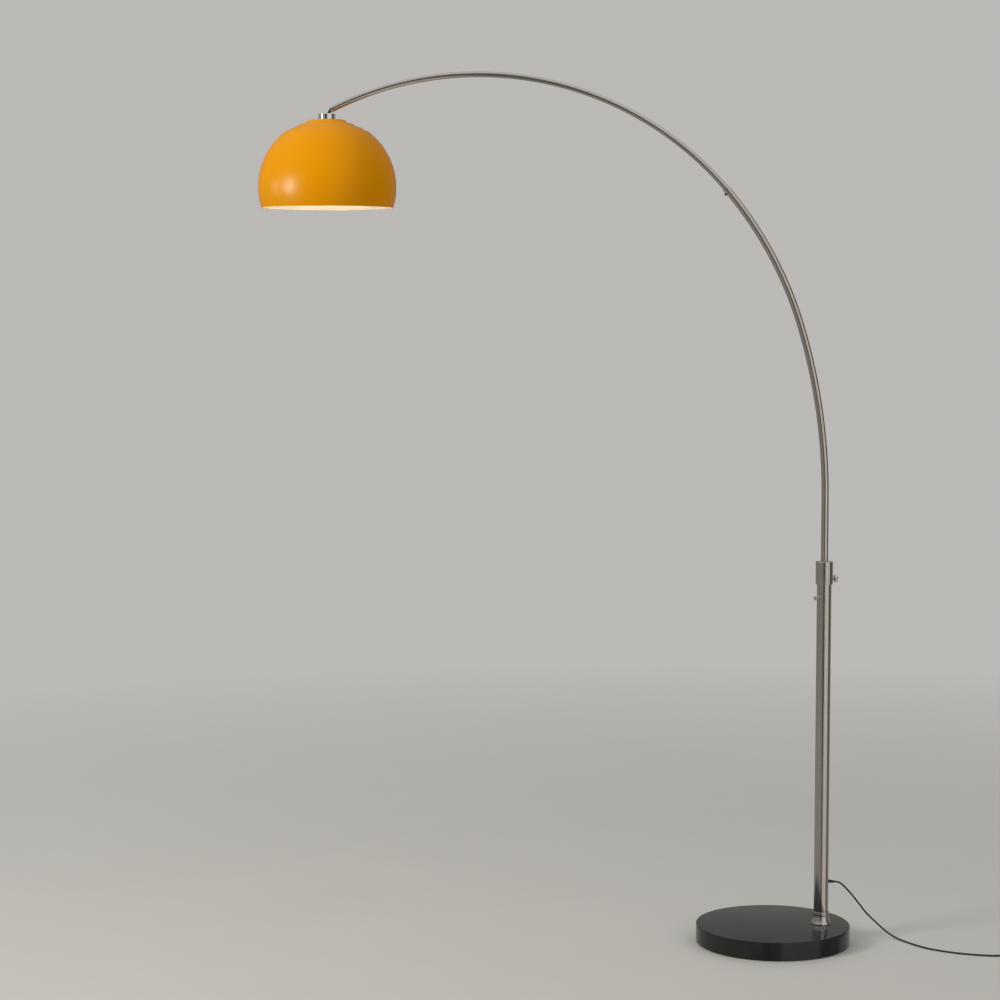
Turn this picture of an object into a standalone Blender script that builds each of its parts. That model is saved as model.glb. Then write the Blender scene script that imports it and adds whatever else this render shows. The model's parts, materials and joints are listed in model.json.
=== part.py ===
"""Arc floor lamp: stone base, steel column, sliding and turning arc arm, spun dome shade.

Metres, +Z up. The origin is on the floor under the middle of the round base, and the arm
reaches towards -X. Run it with: blender --background --python part.py
"""

import math

import bmesh
import bpy
from mathutils import Matrix, Vector

# ---------------------------------------------------------------- fits and fineness
GAP = 0.0003
RUNNING = 0.0003
MERGE = 0.000001
SHARP_ANGLE = math.radians(35)
SIDES = 24
FINE_SIDES = 36
TUBE_SIDES = 16

# ---------------------------------------------------------------- base
BASE_RADIUS = 0.170
BASE_THICK = 0.040
BASE_EDGE = 0.0012
PAD_INSET = 0.005
PAD_THICK = 0.0015
BASE_SIDES = 56

# ---------------------------------------------------------------- column and its fixing
COLUMN_X = 0.107
COLUMN_RADIUS = 0.016
COLUMN_WALL = 0.0015
COLUMN_LENGTH = 0.788
BOLT_RADIUS = 0.006
BOLT_HEAD_FLATS = 0.019
BOLT_HEAD_HEIGHT = 0.0075
WASHER_RADIUS = 0.016
WASHER_THICK = 0.0025
COUNTERBORE_DEPTH = 0.012
FOOT_PLUG_LENGTH = 0.030
FOOT_COLLAR_HEIGHT = 0.0270
FOOT_COLLAR_WALL = 0.0018
FOOT_FLARE_WIDTH = 0.0060
FOOT_RIM_HEIGHT = 0.0020
FOOT_RING_HEIGHT = 0.0075
FOOT_GROOVE_HEIGHT = 0.0030
FOOT_RING_EDGE = 0.0007
FOOT_FLARE_STEPS = 5

# ---------------------------------------------------------------- collar and clamp screws
COLLAR_WALL = 0.0027
COLLAR_HEIGHT = 0.050
COLLAR_OVERLAP = 0.029
COLLAR_EDGE = 0.0008
BUSH_WALL = 0.0025
SCREW_RADIUS = 0.0027
HEIGHT_SCREW_RISE = 0.0127
HEIGHT_KNOB_RADIUS = 0.0093
HEIGHT_KNOB_THICK = 0.0091
# The round knob's outline, in shares of its radius and of its thickness.
HEIGHT_KNOB_OUTLINE = ((0.55, 0.0), (0.85, 0.13), (1.0, 0.29), (1.0, 0.69), (0.86, 0.91), (0.5, 1.0))
TURN_SCREW_DROP = 0.0285
TURN_KNOB_RADIUS = 0.005
TURN_KNOB_LENGTH = 0.0168
TURN_KNOB_EDGE = 0.0007
TURN_SCREW_ANGLE = math.radians(227)
SLEEVE_LENGTH = 0.090
SLEEVE_DROP = 0.011

# ---------------------------------------------------------------- arm
ARM_RADIUS = 0.008
ARM_WALL = 0.0013
ARM_BELOW_COLLAR = 0.321
ARM_STRAIGHT_ABOVE = 0.139
ARM_LOWER_BENDS = ((1.285, math.radians(17.1)), (0.826, math.radians(24.0)))
ARM_UPPER_BEND = (0.711, math.radians(75.8))
ARM_TURN_PER_STEP = math.radians(3.2)
UPPER_WALL = 0.0012
FOOT_BUSH_LENGTH = 0.025
JOINT_SCREW_BACK = 0.012
JOINT_SCREW_RADIUS = 0.0018
JOINT_SCREW_HEAD = 0.0028
JOINT_SCREW_RIM = 0.0022
JOINT_SCREW_CROWN = 0.0030

# ---------------------------------------------------------------- swivel between arm and shade
PIVOT_OFFSET = Vector((-0.0077, 0.0, -0.0145))
LUG_HALF_WIDTH = 0.0032
LUG_THICK = 0.004
END_PLUG_LENGTH = 0.014
LUG_STEPS = 8
PIN_RADIUS = 0.0015
CAP_RADIUS = 0.0185
CAP_ABOVE_PIVOT = 0.0062
CAP_FLOOR = 0.0027
CAP_SLOT_HALF = 0.0105
CAP_EDGE = 0.0010
SLOT_CLEAR = 0.0005
PIN_FRONT = 0.010
PIN_RECESS = 0.002

# ---------------------------------------------------------------- shade
SHADE_RADIUS = 0.150
SHADE_WALL = 0.0012
SHADE_FLAT_RADIUS = 0.038
# The turned steps near the top: a radius, and how far it lies under the true sphere.
SHADE_STEPS = (
    (0.0455, 0.0038),
    (0.0565, 0.0026),
    (0.0635, 0.0044),
    (0.0755, 0.0023),
    (0.0840, 0.0028),
)
SHADE_DOME_RADIUS = 0.089
SHADE_RIM_DROP = 0.045
SHADE_ARC_STEPS = 11
NIPPLE_RADIUS = 0.005
NIPPLE_BORE = 0.0035
NIPPLE_LENGTH = 0.025
NUT_FLATS = 0.017
NUT_THICK = 0.005

# ---------------------------------------------------------------- lampholder and bulb
HOLDER_RADIUS = 0.0195
HOLDER_WALL = 0.002
HOLDER_CAP_HEIGHT = 0.021
HOLDER_SKIRT_LENGTH = 0.0367
# The holder's dome, outside and inside: a radius, and how far it lies under the top.
HOLDER_DOME_OUTSIDE = ((0.0085, 0.0), (0.0120, 0.0030), (0.0165, 0.0080))
HOLDER_DOME_INSIDE = ((0.0145, 0.0095), (0.0105, 0.0050))
HOLDER_SHOULDER_DROP = 0.0140
HOLDER_CEILING_DROP = 0.0030
CORE_THICK = 0.007
SHELL_RADIUS = 0.0137
SHELL_WALL = 0.0005
SHELL_LENGTH = 0.0279
CONTACT_RADIUS = 0.0045
CONTACT_THICK = 0.0027
BULB_CAP_CLEAR = 0.0006
BULB_CAP_LENGTH = 0.0267
BULB_CAP_NOSE_SHARE = 0.75
BULB_CAP_NOSE_DROP = 0.0030
BULB_CAP_SHOULDER_DROP = 0.0070
BULB_RADIUS = 0.030
BULB_NECK_RADIUS = 0.0133
BULB_NECK_LENGTH = 0.056
BULB_WALL = 0.001
BULB_STEPS = 6

# ---------------------------------------------------------------- cord and what is on it
CORD_RADIUS = 0.002
CORD_SPACING = 0.0095
CORD_STUB = 0.006
FLEX_SPACING = 0.065
FLEX_STRAIGHT_STEP = 0.105
FLEX_STRAIGHT_POINTS = 5
FLEX_END_CLEAR = 0.003
CORD_EXIT_RISE = 0.0963
CORD_EXIT_ANGLE = math.radians(32)
CORD_EXIT_DIP = math.radians(10)
GROMMET_RADIUS = 0.0037
GROMMET_FLANGE = 0.0048
GROMMET_FLANGE_THICK = 0.0020
GROMMET_SHOULDER = 0.0010
GROMMET_WIDE_SHARE = 1.9
GROMMET_NARROW_SHARE = 1.3
GROMMET_TAPER = 0.018
GROMMET_TAIL = 0.0015
FLEX_TOP_RISE = 0.200
SWITCH_START = Vector((0.5040, -0.1342, 0.0))
SWITCH_ANGLE = math.radians(-9)
SWITCH_LENGTH = 0.070
SWITCH_WIDTH = 0.034
SWITCH_BASE_HEIGHT = 0.008
SWITCH_HEIGHT = 0.0195
SWITCH_TOP_WALL = 0.003
SWITCH_CORNER_SHARE = 0.32
SWITCH_BASE_EDGE = 0.0012
SWITCH_COVER_EDGE = 0.0025
SWITCH_CORD_HEIGHT = 0.006
BUTTON_RADIUS = 0.011
BUTTON_FLANGE = 0.013
BUTTON_FLANGE_THICK = 0.0025
BUTTON_PROUD = 0.0027
BUTTON_EDGE = 0.0012
BUTTON_DISH = 0.0004
COIL_CENTRE = Vector((0.560, -0.075, 0.0))
COIL_MID_RADIUS = 0.0235
COIL_HALF = 0.0062
COIL_EDGE_SHARE = 0.4
COIL_ENTRY = Vector((0.5935, -0.0815, 0.0020 + CORD_RADIUS))
COIL_EXIT = Vector((0.5728, -0.0456, 0.0060 + CORD_RADIUS))
TIE_THICK = 0.001
TIE_WIDTH = 0.004
TIE_CLEAR = 0.0006
TIE_ANGLE = math.radians(200)
PLUG_BACK = Vector((0.548, -0.0010, 0.0))
PLUG_LENGTH = 0.036
PLUG_WIDTH = 0.035
PLUG_NARROW = 0.014
PLUG_HEIGHT = 0.0137
PLUG_RELIEF_LENGTH = 0.020
PLUG_RELIEF_NARROW_SHARE = 1.25
PLUG_RELIEF_WIDE_SHARE = 2.1
PLUG_SHOULDER_SHARE = 0.45
PLUG_CORNER = 0.003
PLUG_EDGE = 0.0015
PLUG_PIN_RADIUS = 0.002
PLUG_PIN_LENGTH = 0.019
PLUG_PIN_SPREAD = 0.0186

# ---------------------------------------------------------------- heights that follow
BASE_BOTTOM_Z = PAD_THICK + GAP
BASE_TOP_Z = BASE_BOTTOM_Z + BASE_THICK
COLUMN_BOTTOM_Z = BASE_TOP_Z + GAP
COLUMN_TOP_Z = COLUMN_BOTTOM_Z + COLUMN_LENGTH
COLUMN_BORE = COLUMN_RADIUS - COLUMN_WALL
COLUMN_SLIDE = COLUMN_RADIUS + GAP
COLLAR_RADIUS = COLUMN_SLIDE + COLLAR_WALL
FOOT_COLLAR_RADIUS = COLUMN_SLIDE + FOOT_COLLAR_WALL
FOOT_FLARE_RADIUS = COLUMN_SLIDE + FOOT_FLARE_WIDTH
PAD_RADIUS = BASE_RADIUS - PAD_INSET
COLLAR_BOTTOM_Z = COLUMN_TOP_Z - COLLAR_OVERLAP
COLLAR_TOP_Z = COLLAR_BOTTOM_Z + COLLAR_HEIGHT
HEIGHT_SCREW_Z = COLLAR_BOTTOM_Z + HEIGHT_SCREW_RISE
TURN_SCREW_Z = COLLAR_BOTTOM_Z - TURN_SCREW_DROP
SLEEVE_TOP_Z = COLLAR_BOTTOM_Z - SLEEVE_DROP
ARM_BOTTOM_Z = COLLAR_TOP_Z - ARM_BELOW_COLLAR
ARM_BEND_Z = COLLAR_TOP_Z + ARM_STRAIGHT_ABOVE
GUIDE_RADIUS = COLUMN_BORE - RUNNING
ARM_HOLE = ARM_RADIUS + RUNNING
UPPER_RADIUS = ARM_RADIUS - ARM_WALL - GAP
BULB_CAP_RADIUS = SHELL_RADIUS - BULB_CAP_CLEAR
CORD_EXIT_Z = BASE_TOP_Z + CORD_EXIT_RISE

# The route of the free cord from the grommet to the foot switch, chosen by hand. Here and
# in the next routes the third number is the height of the cord's underside.
CORD_CENTRE = Vector((0, 0, CORD_RADIUS))
LEAD_ROUTE = [
    Vector(point) + CORD_CENTRE
    for point in (
        (0.1550, 0.0290, 0.1230),
        (0.1705, 0.0380, 0.1072),
        (0.1860, 0.0460, 0.0888),
        (0.2005, 0.0520, 0.0698),
        (0.2145, 0.0555, 0.0515),
        (0.2278, 0.0565, 0.0380),
        (0.2412, 0.0545, 0.0255),
        (0.2541, 0.0490, 0.0143),
        (0.2660, 0.0390, 0.0060),
        (0.2775, 0.0240, 0.0015),
        (0.2885, 0.0040, 0.0001),
        (0.3085, -0.0310, 0.0000),
        (0.3300, -0.0605, 0.0000),
        (0.3530, -0.0810, 0.0000),
        (0.3765, -0.0965, 0.0000),
        (0.4000, -0.1085, 0.0000),
        (0.4245, -0.1175, 0.0000),
        (0.4495, -0.1245, 0.0001),
        (0.4760, -0.1292, 0.0008),
    )
]
# The flex inside the column, from the grommet up to the column's axis.
FLEX_BEND = (
    (0.0040, 0.0025, 0.0012),
    (0.0012, 0.0008, 0.0060),
    (0.0000, 0.0000, 0.0140),
    (0.0000, 0.0000, 0.0300),
)
# From the foot switch round to the coil.
TAIL_ROUTE = [
    Vector(point) + CORD_CENTRE
    for point in (
        (0.5850, -0.1458, 0.0030),
        (0.5965, -0.1410, 0.0016),
        (0.6040, -0.1310, 0.0014),
        (0.6065, -0.1180, 0.0014),
        (0.6045, -0.1050, 0.0014),
        (0.5990, -0.0920, 0.0016),
    )
]
# From the coil to the plug.
END_ROUTE = [
    Vector(point) + CORD_CENTRE
    for point in (
        (0.5610, -0.0405, 0.0052),
        (0.5530, -0.0360, 0.0049),
    )
]


def clear_scene():
    for obj in list(bpy.data.objects):
        bpy.data.objects.remove(obj, do_unlink=True)


def paint(name, colour, roughness, metallic=0.0):
    """A plain Principled material in the piece's own colour."""
    material = bpy.data.materials.new(name)
    material.use_nodes = True
    shader = material.node_tree.nodes["Principled BSDF"]
    shader.inputs["Base Color"].default_value = (*colour, 1.0)
    shader.inputs["Roughness"].default_value = roughness
    shader.inputs["Metallic"].default_value = metallic
    material.diffuse_color = (*colour, 1.0)
    return material


def flat_direction(angle):
    return Vector((math.cos(angle), math.sin(angle), 0))


def aim(direction):
    """Rotation that lays a piece turned about +Z along a direction."""
    return Vector((0, 0, 1)).rotation_difference(direction).to_euler()


def empty(name, at, parent=None):
    mark = bpy.data.objects.new(name, None)
    mark.location = at
    mark.parent = parent
    mark.empty_display_size = 0.02
    bpy.context.scene.collection.objects.link(mark)
    return mark


def place(obj, material, at=(0, 0, 0), turn=(0, 0, 0), parent=None):
    obj.data.materials.append(material)
    obj.location = at
    obj.rotation_euler = turn
    obj.parent = parent
    bpy.context.scene.collection.objects.link(obj)
    return obj


def mesh_object(name, bm):
    bmesh.ops.remove_doubles(bm, verts=bm.verts, dist=MERGE)
    bmesh.ops.recalc_face_normals(bm, faces=bm.faces)
    mesh = bpy.data.meshes.new(name)
    bm.to_mesh(mesh)
    bm.free()
    mesh.shade_smooth()
    mesh.set_sharp_from_angle(angle=SHARP_ANGLE)
    return bpy.data.objects.new(name, mesh)


def spun(profile, closed, sides):
    """Spin a (radius, height) profile about Z; an open one starts and ends on the axis."""
    bm = bmesh.new()
    verts = [bm.verts.new((radius, 0.0, height)) for radius, height in profile]
    edges = [bm.edges.new(pair) for pair in zip(verts, verts[1:])]
    if closed:
        edges.append(bm.edges.new((verts[-1], verts[0])))
    bmesh.ops.spin(
        bm,
        geom=verts + edges,
        cent=(0, 0, 0),
        axis=(0, 0, 1),
        angle=math.tau,
        steps=sides,
        use_merge=True,
        use_duplicate=False,
    )
    return bm


def ring(inner, outer, low, high):
    return [(inner, low), (outer, low), (outer, high), (inner, high)]


def rod(radius, low, high):
    return [(0.0, low), (radius, low), (radius, high), (0.0, high)]


def bevelled_rod(radius, low, high, edge):
    return [
        (0.0, low),
        (radius - edge, low),
        (radius, low + edge),
        (radius, high - edge),
        (radius - edge, high),
        (0.0, high),
    ]


def turned(name, profile, material, closed=True, sides=SIDES, **where):
    return place(mesh_object(name, spun(profile, closed, sides)), material, **where)


def make_hexagonal(bm, low, high, flats):
    """Move the points of a turned head between two heights out or in to a hexagon."""
    sixth = math.tau / 6
    for vert in bm.verts:
        radius = math.hypot(vert.co.x, vert.co.y)
        if low - MERGE <= vert.co.z <= high + MERGE and radius > 0.45 * flats:
            angle = math.atan2(vert.co.y, vert.co.x) % sixth - sixth / 2
            reach = flats / 2 / math.cos(angle)
            vert.co.x *= reach / radius
            vert.co.y *= reach / radius


def cutter(name, bm, at=(0, 0, 0), turn=(0, 0, 0), parent=None):
    obj = mesh_object(name, bm)
    obj.location = at
    obj.rotation_euler = turn
    obj.parent = parent
    obj.display_type = "WIRE"
    obj.hide_render = True
    bpy.context.scene.collection.objects.link(obj)
    return obj


def boolean(obj, tool, operation="DIFFERENCE"):
    modifier = obj.modifiers.new(tool.name, "BOOLEAN")
    modifier.operation = operation
    modifier.solver = "EXACT"
    modifier.object = tool


def extruded(outline, height, edge):
    """A flat outline raised straight up, with its top and bottom edges bevelled."""
    bm = bmesh.new()
    face = bm.faces.new([bm.verts.new((x, y, 0.0)) for x, y in outline])
    raised = bmesh.ops.extrude_face_region(bm, geom=[face])["geom"]
    top = [item for item in raised if isinstance(item, bmesh.types.BMVert)]
    bmesh.ops.translate(bm, verts=top, vec=(0, 0, height))
    bmesh.ops.recalc_face_normals(bm, faces=bm.faces)
    level = [e for e in bm.edges if abs(e.verts[0].co.z - e.verts[1].co.z) < MERGE]
    bmesh.ops.bevel(
        bm,
        geom=level,
        offset=edge,
        offset_type="OFFSET",
        segments=2,
        profile=0.5,
        affect="EDGES",
        material=-1,
        clamp_overlap=True,
    )
    return bm


def round_corners(corners, radius, steps=4):
    """The outline of a convex polygon with its corners rounded."""
    outline = []
    count = len(corners)
    for index, corner in enumerate(corners):
        here = Vector(corner)
        back = (Vector(corners[index - 1]) - here).normalized()
        ahead = (Vector(corners[(index + 1) % count]) - here).normalized()
        half = back.angle(ahead) / 2
        centre = here + (back + ahead).normalized() * radius / math.sin(half)
        first = here + back * radius / math.tan(half) - centre
        last = here + ahead * radius / math.tan(half) - centre
        for step in range(steps + 1):
            spoke = first.lerp(last, step / steps).normalized() * radius
            outline.append(tuple(centre + spoke))
    return outline


def smooth_route(route, spacing):
    """Evenly spaced points along a smooth curve through the route's own points."""
    fine = 24
    ends = [2 * route[0] - route[1], *route, 2 * route[-1] - route[-2]]
    dense = []
    for before, start, end, after in zip(ends, ends[1:], ends[2:], ends[3:]):
        for step in range(fine):
            t = step / fine
            linear = (end - before) * t
            square = (2 * before - 5 * start + 4 * end - after) * t**2
            cube = (3 * start - before - 3 * end + after) * t**3
            dense.append(0.5 * (2 * start + linear + square + cube))
    dense.append(route[-1].copy())
    total = sum((b - a).length for a, b in zip(dense, dense[1:]))
    count = max(2, round(total / spacing))
    points = [dense[0]]
    walked = 0.0
    for a, b in zip(dense, dense[1:]):
        walked += (b - a).length
        if walked >= total * len(points) / count and len(points) < count:
            points.append(b)
    points.append(dense[-1])
    return points


def free_route(start, leaving, route, end, arriving):
    """A free cord's points: a straight stub at each end with a smooth curve between."""
    inner = [start + leaving * CORD_STUB, *route, end - arriving * CORD_STUB]
    return [start, *smooth_route(inner, CORD_SPACING), end]


def cable(name, points, material, radius=CORD_RADIUS, parent=None):
    curve = bpy.data.curves.new(name, "CURVE")
    curve.dimensions = "3D"
    curve.bevel_depth = radius
    curve.bevel_resolution = 2
    curve.use_fill_caps = True
    curve.resolution_u = 1
    curve.render_resolution_u = 0
    spline = curve.splines.new("POLY")
    spline.points.add(len(points) - 1)
    for slot, point in zip(spline.points, points):
        slot.co = (*point, 1.0)
    return place(bpy.data.objects.new(name, curve), material, parent=parent)


# ---------------------------------------------------------------- the arm's bent line
def along_bends(start, heading, bends):
    """Follow bends (radius, turn) from a point; heading is the turn already made."""
    stops = []
    for radius, turn in bends:
        centre = start - radius * Vector((math.cos(heading), 0, math.sin(heading)))
        heading += turn
        start = centre + radius * Vector((math.cos(heading), 0, math.sin(heading)))
        stops.append((centre, turn, start.copy(), heading))
    return stops


def arm_frame():
    """The bends of the lower tube and of the upper one: centre, turn, end and heading."""
    lower = along_bends(Vector((0, 0, ARM_BEND_Z)), 0.0, ARM_LOWER_BENDS)
    upper = along_bends(lower[-1][2], lower[-1][3], [ARM_UPPER_BEND])
    return lower, upper


def across(heading):
    """Unit vector from the inside of the bend to the outside."""
    return Vector((math.cos(heading), 0, math.sin(heading)))


def ahead_of(heading):
    """Unit vector along the arm, towards its end."""
    return Vector((-math.sin(heading), 0, math.cos(heading)))


def bend_steps(turn):
    return max(1, round(turn / ARM_TURN_PER_STEP))


def last_facet(bend):
    """Direction of the last straight facet of a bend, and of the bend's inside there."""
    centre, turn, end, heading = bend
    radius = (end - centre).length
    ahead = (end - centre - radius * across(heading - turn / bend_steps(turn))).normalized()
    return ahead, Vector((-ahead.z, 0, ahead.x))


def bent_tube(name, radius, wall, start, heading, straight, bends, material, parent):
    """A circle drawn out straight, spun round each bend, and given its wall inwards."""
    bm = bmesh.new()
    verts = bmesh.ops.create_circle(bm, radius=radius, segments=TUBE_SIDES)["verts"]
    upright = aim(ahead_of(heading)).to_matrix()
    bmesh.ops.rotate(bm, verts=verts, cent=(0, 0, 0), matrix=upright)
    bmesh.ops.translate(bm, verts=verts, vec=start)
    last = list(bm.edges)
    if straight:
        grown = bmesh.ops.extrude_edge_only(bm, edges=last)["geom"]
        verts = [item for item in grown if isinstance(item, bmesh.types.BMVert)]
        bmesh.ops.translate(bm, verts=verts, vec=ahead_of(heading) * straight)
        held = set(verts)
        edges = [item for item in grown if isinstance(item, bmesh.types.BMEdge)]
        last = [edge for edge in edges if held.issuperset(edge.verts)]
    for centre, turn, _, _ in bends:
        verts = list({vert for edge in last for vert in edge.verts})
        swept = bmesh.ops.spin(
            bm,
            geom=verts + last,
            cent=centre,
            axis=(0, -1, 0),
            angle=turn,
            steps=bend_steps(turn),
            use_merge=False,
            use_duplicate=False,
        )
        last = [item for item in swept["geom_last"] if isinstance(item, bmesh.types.BMEdge)]
    tube = place(mesh_object(name, bm), material, parent=parent)
    solidify = tube.modifiers.new("wall", "SOLIDIFY")
    solidify.thickness = wall
    solidify.offset = -1
    solidify.use_even_offset = True
    return tube


# ---------------------------------------------------------------- sub-assemblies
def make_base(paints):
    turned(
        "base_pad",
        bevelled_rod(PAD_RADIUS, 0.0, PAD_THICK, PAD_THICK / 4),
        paints["felt"],
        closed=False,
        sides=BASE_SIDES,
    )
    slab = turned(
        "base_slab",
        bevelled_rod(BASE_RADIUS, BASE_BOTTOM_Z, BASE_TOP_Z, BASE_EDGE),
        paints["stone"],
        closed=False,
        sides=BASE_SIDES,
    )
    counterbore = cutter(
        "base_counterbore",
        spun(
            [
                (0.0, -PAD_THICK),
                (WASHER_RADIUS + 10 * GAP, -PAD_THICK),
                (WASHER_RADIUS + 10 * GAP, BASE_BOTTOM_Z + COUNTERBORE_DEPTH),
                (BOLT_RADIUS + GAP, BASE_BOTTOM_Z + COUNTERBORE_DEPTH),
                (BOLT_RADIUS + GAP, BASE_TOP_Z + PAD_THICK),
                (0.0, BASE_TOP_Z + PAD_THICK),
            ],
            False,
            SIDES,
        ),
        at=(COLUMN_X, 0, 0),
    )
    boolean(slab, counterbore)


def make_column(paints, column):
    washer_top = BASE_BOTTOM_Z + COUNTERBORE_DEPTH - GAP
    head_top = washer_top - WASHER_THICK - GAP
    turned(
        "base_washer",
        ring(BOLT_RADIUS + GAP, WASHER_RADIUS, washer_top - WASHER_THICK, washer_top),
        paints["zinc"],
        parent=column,
    )
    plug_bottom = COLUMN_BOTTOM_Z
    plug_top = plug_bottom + FOOT_PLUG_LENGTH
    bolt = spun(
        [
            (0.0, head_top - BOLT_HEAD_HEIGHT),
            (BOLT_HEAD_FLATS / 2, head_top - BOLT_HEAD_HEIGHT),
            (BOLT_HEAD_FLATS / 2, head_top),
            (BOLT_RADIUS, head_top),
            (BOLT_RADIUS, plug_top - 10 * GAP),
            (0.0, plug_top - 10 * GAP),
        ],
        False,
        SIDES,
    )
    make_hexagonal(bolt, head_top - BOLT_HEAD_HEIGHT, head_top, BOLT_HEAD_FLATS)
    place(mesh_object("base_bolt", bolt), paints["zinc"], parent=column)
    turned(
        "foot_plug",
        ring(BOLT_RADIUS + GAP, COLUMN_BORE - GAP, plug_bottom, plug_top),
        paints["zinc"],
        parent=column,
    )
    make_foot_collar(paints, column)
    tube = turned(
        "column_tube",
        ring(COLUMN_BORE, COLUMN_RADIUS, COLUMN_BOTTOM_Z, COLUMN_TOP_Z),
        paints["brushed"],
        parent=column,
    )
    collar = make_collar(paints, column)
    hole = SCREW_RADIUS + RUNNING
    height_hole = cutter(
        "height_screw_hole",
        spun(rod(hole, ARM_RADIUS, 2 * COLLAR_RADIUS), False, TUBE_SIDES),
        at=(0, 0, HEIGHT_SCREW_Z),
        turn=aim(Vector((1, 0, 0))),
        parent=column,
    )
    turn_hole = cutter(
        "turn_screw_hole",
        spun(rod(hole, ARM_RADIUS, 2 * COLLAR_RADIUS), False, TUBE_SIDES),
        at=(0, 0, TURN_SCREW_Z),
        turn=aim(flat_direction(TURN_SCREW_ANGLE)),
        parent=column,
    )
    cord_hole = cutter(
        "grommet_hole",
        spun(rod(GROMMET_RADIUS + GAP, ARM_RADIUS, 2 * COLLAR_RADIUS), False, TUBE_SIDES),
        at=(0, 0, CORD_EXIT_Z),
        turn=aim(exit_direction()),
        parent=column,
    )
    boolean(tube, height_hole)
    boolean(tube, turn_hole)
    boolean(tube, cord_hole)
    boolean(collar, height_hole)


def make_foot_collar(paints, column):
    """A turned foot: a flare that rests on the stone, a groove, and a plain ring above."""
    bottom = COLUMN_BOTTOM_Z
    top = bottom + FOOT_COLLAR_HEIGHT
    bore = COLUMN_SLIDE
    waist = bore + FOOT_COLLAR_WALL / 2
    ring_low = top - FOOT_RING_HEIGHT
    rim_top = bottom + FOOT_RIM_HEIGHT
    rise = ring_low - FOOT_GROOVE_HEIGHT - rim_top
    flare = [(FOOT_FLARE_RADIUS, bottom), (FOOT_FLARE_RADIUS, rim_top)]
    for step in range(1, FOOT_FLARE_STEPS + 1):
        angle = math.pi / 2 * step / FOOT_FLARE_STEPS
        radius = waist + (FOOT_FLARE_RADIUS - waist) * (1 - math.sin(angle))
        flare.append((radius, rim_top + rise * (1 - math.cos(angle))))
    profile = [
        (bore, bottom),
        *flare,
        (FOOT_COLLAR_RADIUS - FOOT_RING_EDGE, ring_low),
        (FOOT_COLLAR_RADIUS, ring_low + FOOT_RING_EDGE),
        (FOOT_COLLAR_RADIUS, top - FOOT_RING_EDGE),
        (FOOT_COLLAR_RADIUS - FOOT_RING_EDGE, top),
        (bore, top),
    ]
    turned("foot_collar", profile, paints["brushed"], parent=column)


def make_collar(paints, column):
    """The column's head: a sleeve over the column with a bush for the arm in its top."""
    sleeve_bore = COLUMN_SLIDE
    bush_radius = ARM_HOLE + BUSH_WALL
    profile = [
        (sleeve_bore, COLLAR_BOTTOM_Z),
        (COLLAR_RADIUS - COLLAR_EDGE, COLLAR_BOTTOM_Z),
        (COLLAR_RADIUS, COLLAR_BOTTOM_Z + COLLAR_EDGE),
        (COLLAR_RADIUS, COLLAR_TOP_Z - COLLAR_EDGE),
        (COLLAR_RADIUS - COLLAR_EDGE, COLLAR_TOP_Z),
        (bush_radius + GAP, COLLAR_TOP_Z),
        (bush_radius + GAP, COLUMN_TOP_Z + GAP),
        (sleeve_bore, COLUMN_TOP_Z + GAP),
    ]
    collar = turned("column_collar", profile, paints["brushed"], parent=column)
    turned(
        "collar_bush",
        ring(ARM_HOLE, bush_radius, COLUMN_TOP_Z + GAP, COLLAR_TOP_Z - GAP),
        paints["nylon"],
        parent=column,
    )
    return collar


def exit_direction():
    """The cord leaves the column behind and to its right, a little downwards."""
    level = flat_direction(CORD_EXIT_ANGLE) * math.cos(CORD_EXIT_DIP)
    return level - Vector((0, 0, math.sin(CORD_EXIT_DIP)))


def make_clamp_screws(paints, column):
    tip = ARM_RADIUS + GAP
    knob = COLLAR_RADIUS + 4 * GAP
    round_knob = [
        (HEIGHT_KNOB_RADIUS * across_share, knob + HEIGHT_KNOB_THICK * along_share)
        for across_share, along_share in HEIGHT_KNOB_OUTLINE
    ]
    turned(
        "height_thumb_screw",
        [
            (0.0, tip),
            (SCREW_RADIUS, tip),
            (SCREW_RADIUS, knob),
            *round_knob,
            (0.0, knob + HEIGHT_KNOB_THICK),
        ],
        paints["polished"],
        closed=False,
        at=(0, 0, HEIGHT_SCREW_Z),
        turn=aim(Vector((1, 0, 0))),
        parent=column,
    )
    tip = COLUMN_BORE
    knob = COLUMN_RADIUS + 3 * GAP
    end = knob + TURN_KNOB_LENGTH
    turned(
        "turn_thumb_screw",
        [
            (0.0, tip),
            (SCREW_RADIUS, tip),
            (SCREW_RADIUS, knob),
            (TURN_KNOB_RADIUS - TURN_KNOB_EDGE, knob),
            (TURN_KNOB_RADIUS, knob + TURN_KNOB_EDGE),
            (TURN_KNOB_RADIUS, end - TURN_KNOB_EDGE),
            (TURN_KNOB_RADIUS - TURN_KNOB_EDGE, end),
            (0.0, end),
        ],
        paints["polished"],
        closed=False,
        at=(0, 0, TURN_SCREW_Z),
        turn=aim(flat_direction(TURN_SCREW_ANGLE)),
        parent=column,
    )


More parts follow.
